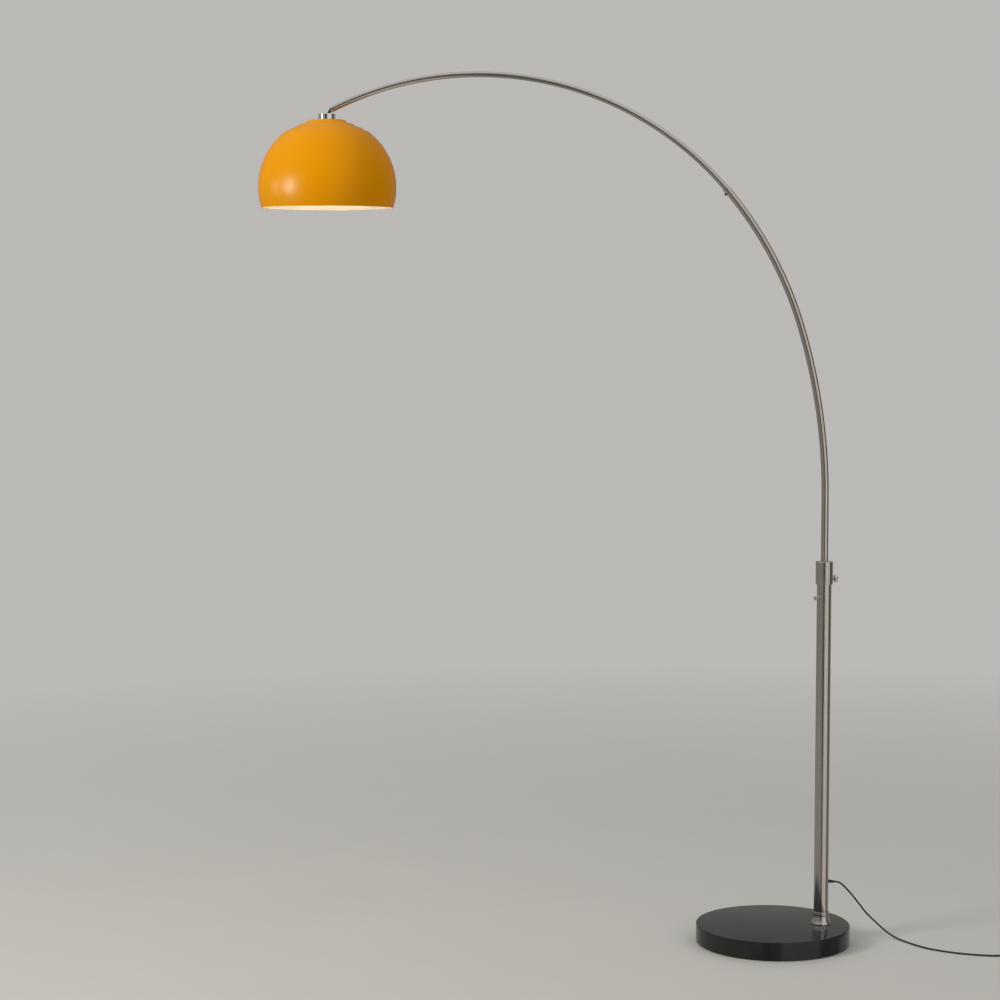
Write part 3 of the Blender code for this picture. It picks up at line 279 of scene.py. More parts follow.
# %% Helpers for nodes
def put(tree, kind, wires, **settings):
    """Add a node; wires are numbers, colours or sockets for its inputs."""
    made = tree.nodes.new("ShaderNode" + kind)
    for title, value in settings.items():
        setattr(made, title, value)
    for key, value in wires.items():
        if isinstance(value, bpy.types.NodeSocket):
            tree.links.new(value, made.inputs[key])
        else:
            made.inputs[key].default_value = value
    return made


def scaled(tree, vector, scale):
    return put(tree, "Mapping", {"Vector": vector, "Scale": scale}).outputs["Vector"]


def noise(tree, vector, scale, detail=3.0, roughness=0.5, distortion=0.0):
    titles = "Vector", "Scale", "Detail", "Roughness", "Distortion"
    wires = dict(zip(titles, (vector, scale, detail, roughness, distortion)))
    return put(tree, "TexNoise", wires).outputs["Fac"]


def remap(tree, value, low, high, to_low=0.0, to_high=1.0):
    wires = {0: value, 1: low, 2: high, 3: to_low, 4: to_high}
    return put(tree, "MapRange", wires).outputs[0]


def times(tree, first, second):
    return put(tree, "Math", {0: first, 1: second}, operation="MULTIPLY").outputs[0]


def plus(tree, first, second):
    return put(tree, "Math", {0: first, 1: second}, operation="ADD").outputs[0]


def tint(tree, mask, first, second):
    """Mix two colours by a mask."""
    wires = {0: mask, 6: first, 7: second}
    return put(tree, "Mix", wires, data_type="RGBA").outputs[2]


def relief(tree, shader, height, depth, strength=1.0):
    """Raise the surface by a height, in metres, through a Bump node."""
    wires = {"Height": height, "Distance": depth, "Strength": strength}
    tree.links.new(put(tree, "Bump", wires).outputs["Normal"], shader.inputs["Normal"])


def rgb(red, green, blue):
    return (red, green, blue, 1.0)


# %% [markdown]
# Each shared effect takes a vector and one number to adjust it by. The maker below builds
# the group's sockets; what happens between them is a short function for each effect.

# %% A maker of shared effects
def effect(name, dial, start, build):
    """A node group with a vector and a dial; build gives back its outputs by name."""
    group = bpy.data.node_groups.new(name, "ShaderNodeTree")
    face = group.interface
    face.new_socket("Vector", in_out="INPUT", socket_type="NodeSocketVector")
    face.new_socket(dial, in_out="INPUT", socket_type="NodeSocketFloat").default_value = start
    inlet = group.nodes.new("NodeGroupInput").outputs
    made = build(group, inlet["Vector"], inlet[dial])
    for title in made:
        face.new_socket(title, in_out="OUTPUT", socket_type="NodeSocketFloat")
    outlet = group.nodes.new("NodeGroupOutput").inputs
    for title, value in made.items():
        group.links.new(value, outlet[title])
    print(f"effect: {name}, giving {', '.join(made)}")
    return group


# %% [markdown]
# Brush marks are two noises, one broad and one fine; the material squeezes their vector, so
# that they become lines. Smudges are the same idea left round: soft clouds with a finer
# wiping over them, as hands and a polishing cloth leave.

# %% Brush marks and smudges
def brush_marks(group, vector, contrast):
    broad = noise(group, vector, 0.35, 2.0, 0.6)
    fine = noise(group, vector, 1.0, 3.0, 0.7)
    both = plus(group, times(group, broad, 0.45), times(group, fine, 0.55))
    lines = remap(group, both, 0.34, 0.66)
    return {"Lines": times(group, lines, contrast), "Height": fine}


def smudges(group, vector, size):
    cloudy = noise(group, vector, size, 4.0, 0.62, 0.6)
    wiped = noise(group, vector, times(group, size, 4.3), 2.0, 0.5)
    both = plus(group, times(group, cloudy, 0.7), times(group, wiped, 0.3))
    return {"Patches": remap(group, both, 0.36, 0.64)}


BRUSH_MARKS = effect("brush marks", "Contrast", 1.0, brush_marks)
SMUDGES = effect("smudges", "Size", 20.0, smudges)

# %% [markdown]
# The pebbled skin is the slight orange peel of sprayed lacquer, or, finer, the spark grain
# of a mould. Edge wear finds convex edges by their pointiness and breaks the line up with
# a noise, because real edges are rubbed here and there and not evenly.

# %% Pebbled skin and edge wear
def pebbled_skin(group, vector, scale):
    swell = noise(group, vector, scale, 2.0, 0.45)
    pits = noise(group, vector, times(group, scale, 3.1), 1.0, 0.5)
    height = plus(group, times(group, swell, 0.7), times(group, pits, 0.3))
    return {"Height": height, "Pores": remap(group, pits, 0.55, 0.7)}


def edge_wear(group, vector, amount):
    sharp = group.nodes.new("ShaderNodeNewGeometry").outputs["Pointiness"]
    edge = remap(group, sharp, 0.51, 0.58)
    broken = remap(group, noise(group, vector, 260.0, 4.0, 0.7), 0.35, 0.7)
    return {"Worn": times(group, times(group, edge, broken), amount)}


PEBBLED_SKIN = effect("pebbled skin", "Scale", 600.0, pebbled_skin)
EDGE_WEAR = effect("edge wear", "Amount", 1.0, edge_wear)

# %% [markdown]
# Every finish then starts in the same way: a material with plain numbers on its Principled
# shader, and the Object coordinates that its patterns are laid out on.

# %% Starting a finish
def use(tree, group, **wires):
    """Place a shared effect in a material."""
    made = tree.nodes.new("ShaderNodeGroup")
    made.node_tree = group
    for title, value in wires.items():
        if isinstance(value, bpy.types.NodeSocket):
            tree.links.new(value, made.inputs[title])
        else:
            made.inputs[title].default_value = value
    return made.outputs


def begin(name, colour, roughness, metallic=0.0, **sockets):
    """A new finish: its tree, its shader with plain values set, and Object coordinates."""
    material = bpy.data.materials.new(name)
    material.use_nodes = True
    tree = material.node_tree
    shader = tree.nodes["Principled BSDF"]
    shader.inputs["Base Color"].default_value = colour
    shader.inputs["Roughness"].default_value = roughness
    shader.inputs["Metallic"].default_value = metallic
    for title, value in sockets.items():
        shader.inputs[title.replace("_", " ")].default_value = value
    place = tree.nodes.new("ShaderNodeTexCoord").outputs["Object"]
    return material, tree, shader, place


def feed(tree, shader, colour=None, roughness=None):
    for value, title in ((colour, "Base Color"), (roughness, "Roughness")):
        if value is not None:
            tree.links.new(value, shader.inputs[title])


def smudged(tree, place, size):
    return use(tree, SMUDGES, Vector=place, Size=size)["Patches"]


def worn_to(tree, place, amount, colour, pale):
    """Turn a colour paler along rubbed edges."""
    return tint(tree, use(tree, EDGE_WEAR, Vector=place, Amount=amount)["Worn"], colour, pale)


def span(tree, value, low, high):
    """Spread a value from 0 to 1 over a narrow range of roughness."""
    return remap(tree, value, 0.0, 1.0, low, high)


# %% [markdown]
# The base is black stone, sawn, rounded at the edge and polished until it mirrors the
# column's foot. The stone is nearly plain, with a close pale fleck and a slow cloudiness.
# Two noises at very different scales make it: a fine one cut down to specks and a coarse
# one for the clouds. The mirror comes from a very low roughness, broken by smudges.

# %% Polished stone and felt
def make_polished_stone():
    material, tree, shader, place = begin(
        "polished black stone", rgb(0.02, 0.02, 0.02), 0.08, Specular_IOR_Level=0.32
    )
    fleck = remap(tree, noise(tree, place, 950.0, 2.0, 0.6), 0.60, 0.72)
    crystal = put(tree, "TexVoronoi", {"Vector": place, "Scale": 420.0}).outputs["Distance"]
    glint = times(tree, remap(tree, crystal, 0.20, 0.05), fleck)
    cloud = remap(tree, noise(tree, place, 14.0, 5.0, 0.6, 0.8), 0.35, 0.68)
    body = tint(tree, cloud, rgb(0.0105, 0.0106, 0.0110), rgb(0.0185, 0.0186, 0.0190))
    specked = tint(tree, times(tree, fleck, 0.35), body, rgb(0.075, 0.075, 0.076))
    glinting = tint(tree, glint, specked, rgb(0.20, 0.20, 0.20))
    colour = worn_to(tree, place, 0.30, glinting, rgb(0.11, 0.11, 0.11))
    feed(tree, shader, colour, span(tree, smudged(tree, place, 16.0), 0.055, 0.105))
    relief(tree, shader, fleck, 0.000004, 0.4)
    return material


def make_felt():
    material, tree, shader, place = begin(
        "black felt", rgb(0.03, 0.03, 0.03), 0.95, Sheen_Weight=0.4
    )
    matted = noise(tree, place, 1500.0, 5.0, 0.75, 1.5)
    tufts = noise(tree, place, 160.0, 3.0, 0.6)
    mask = remap(tree, matted, 0.3, 0.7)
    feed(tree, shader, tint(tree, mask, rgb(0.016, 0.016, 0.017), rgb(0.06, 0.06, 0.06)))
    relief(tree, shader, plus(tree, matted, tufts), 0.0003)
    return material


STONE = make_polished_stone()
FELT = make_felt()

# %% [markdown]
# The column, the collars and the arm are satin steel, rubbed with a fine belt while the
# tube turns, so the marks run round it. Round marks stretch a reflection along the tube and
# keep it narrow across, which is where the crisp upright bands come from. A noise that is
# squeezed along the tube's length gives the marks. On the straight pieces height can lead
# it; on the bent tubes it follows their own UV map, in metres along and around.

# %% Satin steel
SATIN = (0.18, 0.26)
# How many marks to the metre along each axis: few round the tube, many along it.
MARKS_AROUND, MARKS_ALONG = 60, 3800


def satin_steel(name, vector_of):
    """Belt-rubbed steel; vector_of gives the stretched coordinates for its marks."""
    material, tree, shader, place = begin(name, rgb(0.50, 0.475, 0.445), SATIN[0], 1.0)
    marks = use(tree, BRUSH_MARKS, Vector=vector_of(tree, place))
    lines, patches = marks["Lines"], smudged(tree, place, 30.0)
    bright, dull = rgb(0.56, 0.53, 0.495), rgb(0.43, 0.405, 0.38)
    toned = tint(tree, times(tree, lines, 0.55), bright, dull)
    colour = tint(tree, times(tree, patches, 0.18), toned, rgb(0.40, 0.375, 0.34))
    level = plus(tree, times(tree, lines, 0.6), times(tree, patches, 0.4))
    feed(tree, shader, colour, span(tree, level, *SATIN))
    relief(tree, shader, marks["Height"], 0.000008, 0.3)
    return material


def marks_round_z(tree, place):
    return scaled(tree, place, (MARKS_AROUND, MARKS_AROUND, MARKS_ALONG))


def marks_on_map(tree, place):
    laid = tree.nodes.new("ShaderNodeUVMap")
    laid.uv_map = "along"
    return scaled(tree, laid.outputs["UV"], (MARKS_ALONG, MARKS_AROUND, 1))


COLUMN_STEEL = satin_steel("satin steel, marks round the column", marks_round_z)
ARM_STEEL = satin_steel("satin steel, marks round the arm", marks_on_map)
print(f"satin steel, roughness {SATIN}")

# %% [markdown]
# The screws, the swivel and the small fittings are smoother: polished, blackened or drawn
# metal with faint wiping marks, and zinc plating, whose crystals a Voronoi pattern gives.

# %% Polished, blackened, drawn and plated metal
def plain_metal(name, light, dark, smooth, rough, grain):
    """Polished or plated metal: mottled tone, fine wiping marks and smudges."""
    material, tree, shader, place = begin(name, light, smooth, 1.0)
    marks = use(tree, BRUSH_MARKS, Vector=scaled(tree, place, grain))
    patches = smudged(tree, place, 70.0)
    tone = plus(tree, times(tree, marks["Lines"], 0.5), times(tree, patches, 0.5))
    feed(tree, shader, tint(tree, tone, light, dark), span(tree, tone, smooth, rough))
    relief(tree, shader, marks["Height"], 0.000006, 0.4)
    return material


def make_zinc():
    material, tree, shader, place = begin("zinc plating", rgb(0.6, 0.6, 0.58), 0.35, 1.0)
    cells = put(tree, "TexVoronoi", {"Vector": place, "Scale": 700.0}).outputs["Color"]
    grain = put(tree, "SeparateColor", {"Color": cells}).outputs["Red"]
    patches = smudged(tree, place, 90.0)
    tone = plus(tree, times(tree, grain, 0.5), times(tree, patches, 0.5))
    colour = tint(tree, tone, rgb(0.68, 0.68, 0.66), rgb(0.46, 0.47, 0.47))
    feed(tree, shader, colour, span(tree, tone, 0.26, 0.44))
    relief(tree, shader, grain, 0.00001, 0.4)
    return material


light, dark = rgb(0.80, 0.785, 0.76), rgb(0.66, 0.645, 0.62)
KNOB_STEEL = plain_metal("polished steel", light, dark, 0.07, 0.15, (90, 90, 1800))
light, dark = rgb(0.075, 0.07, 0.065), rgb(0.04, 0.038, 0.036)
FIXING_STEEL = plain_metal("blackened steel", light, dark, 0.28, 0.42, (900, 900, 900))
light, dark = rgb(0.80, 0.58, 0.25), rgb(0.55, 0.37, 0.13)
BRASS = plain_metal("drawn brass", light, dark, 0.20, 0.36, (300, 300, 2500))
ZINC = make_zinc()
print("bright steel, dark steel, brass and zinc made")

# %% [markdown]
# The shade is spun aluminium, sprayed a warm yellow-orange outside and white inside. Sprayed
# lacquer is not flat: under a lamp its skin shows a faint orange peel, which breaks up the
# highlight, and where it is rubbed at an edge it turns slightly paler. The lacquer is deep
# in colour and only faintly glossy, so its specular level is low and the colour stays pure.

# %% Lacquers
def make_yellow_lacquer():
    material, tree, shader, place = begin(
        "yellow orange lacquer", rgb(0.68, 0.262, 0.001), 0.30, Specular_IOR_Level=0.05
    )
    skin = use(tree, PEBBLED_SKIN, Vector=place, Scale=420.0)
    drift = noise(tree, place, 9.0, 3.0, 0.5)
    body = tint(tree, drift, rgb(0.665, 0.254, 0.0006), rgb(0.70, 0.270, 0.0010))
    colour = worn_to(tree, place, 0.25, body, rgb(0.78, 0.38, 0.04))
    feed(tree, shader, colour, span(tree, smudged(tree, place, 22.0), 0.27, 0.33))
    relief(tree, shader, skin["Height"], 0.00002, 0.35)
    return material


def make_white_lacquer():
    material, tree, shader, place = begin("white lacquer", rgb(0.87, 0.85, 0.80), 0.42)
    skin = use(tree, PEBBLED_SKIN, Vector=place, Scale=380.0)
    patches = smudged(tree, place, 18.0)
    colour = tint(tree, patches, rgb(0.885, 0.865, 0.815), rgb(0.84, 0.81, 0.75))
    feed(tree, shader, colour, span(tree, patches, 0.38, 0.50))
    relief(tree, shader, skin["Height"], 0.00003, 0.4)
    return material


YELLOW_LACQUER = make_yellow_lacquer()
WHITE_LACQUER = make_white_lacquer()

# %% [markdown]
# The rest is moulded: a white thermoplastic lampholder with a glazed ceramic core, a black
# foot switch and plug with a fine spark grain, soft rubber where the cord is held, and the
# cord's own smooth sleeve. They share the pebbled skin at different sizes and depths.

# %% Plastics, rubber, ceramic and glass
def moulded(name, light, dark, smooth, rough, grain, depth, wear=0.0):
    """A moulded skin: spark grain, soft patches and, if asked, paler edges."""
    material, tree, shader, place = begin(name, light, smooth)
    skin = use(tree, PEBBLED_SKIN, Vector=place, Scale=grain)
    patches = smudged(tree, place, 60.0)
    colour = tint(tree, patches, light, dark)
    if wear:
        colour = worn_to(tree, place, wear, colour, rgb(0.07, 0.07, 0.07))
    level = plus(tree, times(tree, patches, 0.6), times(tree, skin["Pores"], 0.4))
    feed(tree, shader, colour, span(tree, level, smooth, rough))
    relief(tree, shader, skin["Height"], depth, 0.5)
    return material


BULB_STRENGTH = 7.6


def make_bulb_glass():
    """Frosted glass with the light behind it, its glow varying a little in warmth from patch to
    patch.
    """
    material, tree, shader, place = begin("frosted bulb glass", rgb(0.93, 0.90, 0.84), 0.35)
    frost = noise(tree, place, 1800.0, 2.0, 0.6)
    feed(tree, shader, None, remap(tree, frost, 0.3, 0.7, 0.30, 0.42))
    glow = tint(tree, noise(tree, place, 40.0), rgb(1.0, 0.76, 0.46), rgb(1.0, 0.82, 0.55))
    tree.links.new(glow, shader.inputs["Emission Color"])
    shader.inputs["Emission Strength"].default_value = BULB_STRENGTH
    relief(tree, shader, frost, 0.00001, 0.4)
    return material


# Each: name, two tones, roughness from and to, grain to the metre, its depth, edge wear.
BLACK, WORN_BLACK = (0.016, 0.016, 0.017), (0.024, 0.024, 0.025)
MOULDED = (
    ("black moulded plastic", BLACK, WORN_BLACK, 0.26, 0.40, 1500.0, 3e-5, 0.35),
    ("black rubber", (0.02, 0.02, 0.02), (0.032, 0.031, 0.030), 0.62, 0.80, 900.0, 4e-5),
    ("black cord sleeve", (0.014, 0.014, 0.014), (0.022, 0.022, 0.022), 0.42, 0.55, 1200.0, 2e-5),
    ("clear inner flex", (0.62, 0.60, 0.55), (0.52, 0.50, 0.45), 0.35, 0.50, 700.0, 2e-5),
    ("natural nylon", (0.70, 0.69, 0.64), (0.62, 0.61, 0.56), 0.42, 0.58, 800.0, 3e-5),
    ("white holder plastic", (0.78, 0.765, 0.72), (0.72, 0.70, 0.65), 0.36, 0.50, 1100.0, 2e-5),
    ("glazed ceramic", (0.82, 0.81, 0.77), (0.76, 0.75, 0.70), 0.16, 0.30, 500.0, 3e-5),
)
BLACK_PLASTIC, RUBBER, CORD_SLEEVE, INNER_FLEX, NYLON, HOLDER_PLASTIC, CERAMIC = (
    moulded(name, rgb(*light), rgb(*dark), *numbers) for name, light, dark, *numbers in MOULDED
)
BULB_GLASS = make_bulb_glass()
print(f"{len(bpy.data.materials)} materials with the frame's own")

# %% [markdown]
# The record of the CAD model names material slots, so that a finish can be changed later
# for every piece that has it.

# %% [markdown]
# ## The cord
# A black two-core lead, four millimetres thick, comes out of a rubber grommet low on the
# column, hangs down past the base and runs along the floor to a foot switch. What is left
# is put away in a small coil with its plug beside it. The route is a list of given points
# with one smooth curve through them, the same as in the CAD, so the length is real.

# %% The cord's route
CORD_RADIUS = 0.002
CORD_STEP = 0.0045
CORD_STUB = 0.006
CORD_CENTRE = Vector((0, 0, CORD_RADIUS))
CLEAR = 0.0003
COLUMN_AXIS, COLUMN_RADIUS, COLUMN_LOW, COLUMN_HIGH = upright("column_tube")
EXIT_ANGLE = math.radians(32)
EXIT_DIP = math.radians(10)
EXIT_ROOT = COLUMN_AXIS + Vector((0, 0, upright("base_slab")[3] + 0.0963))
EXIT_WAY = Vector(
    (
        math.cos(EXIT_ANGLE) * math.cos(EXIT_DIP),
        math.sin(EXIT_ANGLE) * math.cos(EXIT_DIP),
        -math.sin(EXIT_DIP),
    )
)
GROMMET_END = 0.0372
SWITCH_START = Vector((0.5040, -0.1342, 0.0))
SWITCH_ANGLE = math.radians(-9)
SWITCH_LENGTH = 0.070
SWITCH_CORD_HEIGHT = Vector((0, 0, 0.006))
SWITCH_ALONG = Vector((math.cos(SWITCH_ANGLE), math.sin(SWITCH_ANGLE), 0))

def over_floor(*points):
    """Points whose third number is the height of the cord's underside over the floor."""
    return [Vector(point) + CORD_CENTRE for point in points]


LEAD_ROUTE = over_floor(
    (0.1550, 0.0290, 0.1230),
    (0.1705, 0.0380, 0.1072),
    (0.1860, 0.0460, 0.0888),
    (0.2005, 0.0520, 0.0698),
    (0.2145, 0.0555, 0.0515),
    (0.2278, 0.0565, 0.0380),
    (0.2412, 0.0545, 0.0255),
    (0.2541, 0.0490, 0.0143),
    (0.2660, 0.0390, 0.0060),
    (0.2775, 0.0240, 0.0015),
    (0.2885, 0.0040, 0.0001),
    (0.3085, -0.0310, 0.0000),
    (0.3300, -0.0605, 0.0000),
    (0.3530, -0.0810, 0.0000),
    (0.3765, -0.0965, 0.0000),
    (0.4000, -0.1085, 0.0000),
    (0.4245, -0.1175, 0.0000),
    (0.4495, -0.1245, 0.0001),
    (0.4760, -0.1292, 0.0008),
)
TAIL_ROUTE = over_floor(
    (0.5850, -0.1458, 0.0030),
    (0.5965, -0.1410, 0.0016),
    (0.6040, -0.1310, 0.0014),
    (0.6065, -0.1180, 0.0014),
    (0.6045, -0.1050, 0.0014),
    (0.5990, -0.0920, 0.0016),
    (0.5935, -0.0815, 0.0018),
)
END_ROUTE = over_floor(
    (0.5728, -0.0456, 0.0092),
    (0.5610, -0.0405, 0.0072),
    (0.5530, -0.0360, 0.0054),
)


# %% [markdown]
# The smooth curve through those points is a Catmull-Rom spline, worked out finely and then
# walked along, so that its points end up evenly spaced.

# %% A smooth curve through points
FINE_STEPS = 24


def cord_length(points):
    return sum((b - a).length for a, b in zip(points, points[1:]))


def smooth_route(route, spacing):
    """Evenly spaced points along a smooth curve through the route's own points."""
    ends = [2 * route[0] - route[1], *route, 2 * route[-1] - route[-2]]
    dense = []
    for before, start, end, after in zip(ends, ends[1:], ends[2:], ends[3:]):
        for step in range(FINE_STEPS):
            t = step / FINE_STEPS
            linear = (end - before) * t
            square = (2 * before - 5 * start + 4 * end - after) * t**2
            cube = (3 * start - before - 3 * end + after) * t**3
            dense.append(0.5 * (2 * start + linear + square + cube))
    dense.append(route[-1].copy())
    total = cord_length(dense)
    count = max(2, round(total / spacing))
    points = [dense[0]]
    walked = 0.0
    for a, b in zip(dense, dense[1:]):
        walked += (b - a).length
        if walked >= total * len(points) / count and len(points) < count:
            points.append(b)
    points.append(dense[-1])
    return points


# %% [markdown]
# The coil has nine turns in a bundle three wide and three high. Each turn keeps to its own
# place in the bundle and shifts to the next one a little before it has come full circle, so
# that no two turns are ever in the same place. An eased step makes each shift gentle.

# %% The coil's turns
COIL_CENTRE = Vector((0.560, -0.075, 0.0))
COIL_MID_RADIUS = 0.0235
COIL_LOW = 0.0016
TURN_SPACING = 0.0042
TURN_PLACES = ((1, 0), (0, 0), (-1, 0), (-1, 1), (-1, 2), (0, 2), (0, 1), (1, 1), (1, 2))
COIL_JOIN = math.radians(27)
COIL_LEAVE = math.radians(36)
PASS_TURN = math.radians(335)
SHIFT_TURN = math.radians(90)
SHIFT_EARLY = math.radians(20)
COIL_STEP = math.radians(9)


def eased_step(value):
    value = min(1.0, max(0.0, value))
    return (1 - math.cos(math.pi * value)) / 2


def coil_turns():
    """The coil's centreline, from where the cord joins the bundle to where it leaves."""
    passes = len(TURN_PLACES) - 1
    least = passes * PASS_TURN
    whole = math.ceil((COIL_JOIN + least - COIL_LEAVE) / FULL_TURN)
    total = whole * FULL_TURN + COIL_LEAVE - COIL_JOIN
    count = round(total / COIL_STEP)
    points = []
    for step in range(count + 1):
        walked = total * step / count
        across, up = TURN_PLACES[0]
        for index in range(passes):
            middle = (index + 1) * PASS_TURN - SHIFT_EARLY
            done = eased_step((walked - middle) / SHIFT_TURN + 0.5)
            across += (TURN_PLACES[index + 1][0] - TURN_PLACES[index][0]) * done
            up += (TURN_PLACES[index + 1][1] - TURN_PLACES[index][1]) * done
        angle = COIL_JOIN + walked
        radius = COIL_MID_RADIUS + across * TURN_SPACING
        height = COIL_LOW + CORD_RADIUS + up * TURN_SPACING
        points.append(
            COIL_CENTRE + Vector((radius * math.cos(angle), radius * math.sin(angle), height))
        )
    return points


# %% [markdown]
# A cord is a curve object with a round bevel. A straight-sided poly spline with close
# points is used rather than handles, because its own line is then exactly the route.

# %% Lay the cords
CORD_ROUND = 4
PLUG_BACK = Vector((0.548, -0.0010, 0.0))
PLUG_HEIGHT = 0.0137
PLUG_RELIEF_LENGTH = 0.020


def lay_cord(name, points, finish):
    curve = bpy.data.curves.new(name, "CURVE")
    curve.dimensions = "3D"
    curve.bevel_depth = CORD_RADIUS
    curve.bevel_resolution = CORD_ROUND
    curve.use_fill_caps = True
    curve.resolution_u = 1
    curve.render_resolution_u = 0
    spline = curve.splines.new("POLY")
    spline.use_smooth = True
    spline.points.add(len(points) - 1)
    for slot, point in zip(spline.points, points):
        slot.co = (*point, 1.0)
    made = bpy.data.objects.new(name, curve)
    scene.collection.objects.link(made)
    curve.materials.append(finish)
    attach(made, "stand")
    print(f"{name}: {cord_length(points):.3f} m")
    return made


def lead_points():
    start = EXIT_ROOT + EXIT_WAY * (GROMMET_END + CLEAR)
    end = SWITCH_START - SWITCH_ALONG * CLEAR + SWITCH_CORD_HEIGHT
    inner = [start + EXIT_WAY * CORD_STUB, *LEAD_ROUTE, end - SWITCH_ALONG * CORD_STUB]
    return [start, *smooth_route(inner, CORD_STEP), end]


def coiled_points():
    start = SWITCH_START + SWITCH_ALONG * (SWITCH_LENGTH + CLEAR) + SWITCH_CORD_HEIGHT
    turns = coil_turns()
    end = PLUG_BACK + Vector((0, -PLUG_RELIEF_LENGTH - 2 * CLEAR, PLUG_HEIGHT / 2))
    leaving = [start + SWITCH_ALONG * CORD_STUB, *TAIL_ROUTE]
    route = [*leaving, *turns, *END_ROUTE, end - Vector((0, CORD_STUB, 0))]
    return [start, *smooth_route(route, CORD_STEP), end]


LEAD_POINTS = lead_points()
COILED_POINTS = coiled_points()
lead = lay_cord("mains_lead", LEAD_POINTS, CORD_SLEEVE)
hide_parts("cord_lead")
coiled = lay_cord("coiled_lead", COILED_POINTS, CORD_SLEEVE)
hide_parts("cord_tail", "cord_coil", "cord_end")

# %% [markdown]
# The grommet is a soft rubber sleeve with a flange against the column, a tapering tail and
# cut rings that let it bend with the cord. The same shape, longer and slimmer, protects the
# cord at the plug. Its outline is worked out by a loop, ring by ring.

# %% Strain reliefs
def ribbed_taper(low, high, wide, narrow, bore, rings, groove):
    """Outline of a tapering sleeve with cut rings round it, open at both ends."""
    outline = [(bore, low), (wide, low)]
    pitch = (high - low) / (rings + 0.5)
    for ring in range(rings):
        start = low + pitch * (ring + 0.45)
        for along, depth in ((0.0, 0.0), (0.12, 1.0), (0.38, 1.0), (0.5, 0.0)):
            height = start + pitch * along
            taper = (height - low) / (high - low)
            outline.append((wide + (narrow - wide) * taper - groove * depth, height))
    outline += [(narrow, high - (high - low) * 0.04), (narrow - groove, high), (bore, high)]
    return outline


GROMMET_RADIUS = 0.0037
GROMMET_FLANGE = 0.0048
FLANGE_LOW, FLANGE_HIGH = 0.0172, 0.0192
FLANGE_EDGE = 0.0005
GROMMET_TAIL = (0.0039, 0.0027)
COLUMN_WALL = 0.0015
GROMMET_ROOT = COLUMN_RADIUS - COLUMN_WALL - 0.0015
CORD_BORE = CORD_RADIUS * 0.98
RELIEF_SIDES = 48


def make_grommet():
    tail = ribbed_taper(FLANGE_HIGH, GROMMET_END, *GROMMET_TAIL, CORD_BORE, 5, 0.0005)[2:]
    outline = [
        (CORD_BORE, GROMMET_ROOT),
        (GROMMET_RADIUS, GROMMET_ROOT),
        (GROMMET_RADIUS, FLANGE_LOW),
        (GROMMET_FLANGE - FLANGE_EDGE, FLANGE_LOW),
        (GROMMET_FLANGE, FLANGE_LOW + FLANGE_EDGE),
        (GROMMET_FLANGE, FLANGE_HIGH - 0.0006),
        (GROMMET_FLANGE - 0.0006, FLANGE_HIGH),
        *tail,
    ]
    bm = lathe(outline, RELIEF_SIDES, closed=True)
    return piece("cord_exit_grommet", bm, "cord_grommet", aimed(EXIT_ROOT, EXIT_WAY), RUBBER)


grommet = make_grommet()

# %% [markdown]
# ## The foot switch
# A low rounded box in two halves, pressed with the toe. The upper half is a crowned shell
# with a round well for the button. The outline is a rectangle with its corners rounded,
# extruded up, and the long top edge is bevelled in several steps so that it rolls over.

# %% Switch box
SWITCH_WIDTH = 0.034
SWITCH_BASE_HEIGHT = 0.008
SWITCH_TOP = 0.0195
SWITCH_CORNER = 0.32 * SWITCH_WIDTH
BUTTON_RADIUS = 0.0110
BUTTON_WELL = BUTTON_RADIUS + CLEAR
BUTTON_RISE, BUTTON_DEPTH = 0.0027, 0.0075
BUTTON_ROLL = 0.0011
BUTTON_RINGS = (0.0078, 0.0056, 0.0034)
SWITCH_PLACE = Matrix.Translation(SWITCH_START) @ Matrix.Rotation(SWITCH_ANGLE, 4, "Z")
SWITCH_MIDDLE = SWITCH_PLACE @ Matrix.Translation((SWITCH_LENGTH / 2, 0, 0))


def rounded_outline(corners, rounding, steps):
    """A convex outline with its corners made arcs."""
    outline = [(x, y, rounding) for x, y in corners]
    return eased(outline, closed=True, steps=steps)


def raised(outline, low, high, top_edge, bottom_edge, steps=4):
    """An outline raised straight up, its top and bottom edges rolled over."""
    bm = bmesh.new()
    bm.faces.new([bm.verts.new((x, y, low)) for x, y in outline])
    draw_out(bm, (0, 0, high - low))
    for level, edge in ((high, top_edge), (low, bottom_edge)):
        rim = [e for e in bm.edges if all(abs(v.co.z - level) < MERGE for v in e.verts)]
        roll_over(bm, rim, edge, steps)
    return bm


def switch_outline():
    half = SWITCH_WIDTH / 2
    corners = [(0, -half), (SWITCH_LENGTH, -half), (SWITCH_LENGTH, half), (0, half)]
    return rounded_outline(corners, SWITCH_CORNER, 8)


def make_switch_base():
    bm = raised(switch_outline(), 0.0, SWITCH_BASE_HEIGHT, 0.0004, 0.0012)
    return piece("foot_switch_base", bm, "switch_base", SWITCH_PLACE, BLACK_PLASTIC)


def make_switch_cover():
    low = SWITCH_BASE_HEIGHT + CLEAR
    bm = raised(switch_outline(), low, SWITCH_TOP, 0.0042, 0.0004, 8)
    middle = Vector((SWITCH_LENGTH / 2, 0, 0))
    bm = drilled(bm, BUTTON_WELL, low - 0.001, SWITCH_TOP * 2, middle, UP, 64)
    return piece("foot_switch_cover", bm, "switch_cover", SWITCH_PLACE, BLACK_PLASTIC)


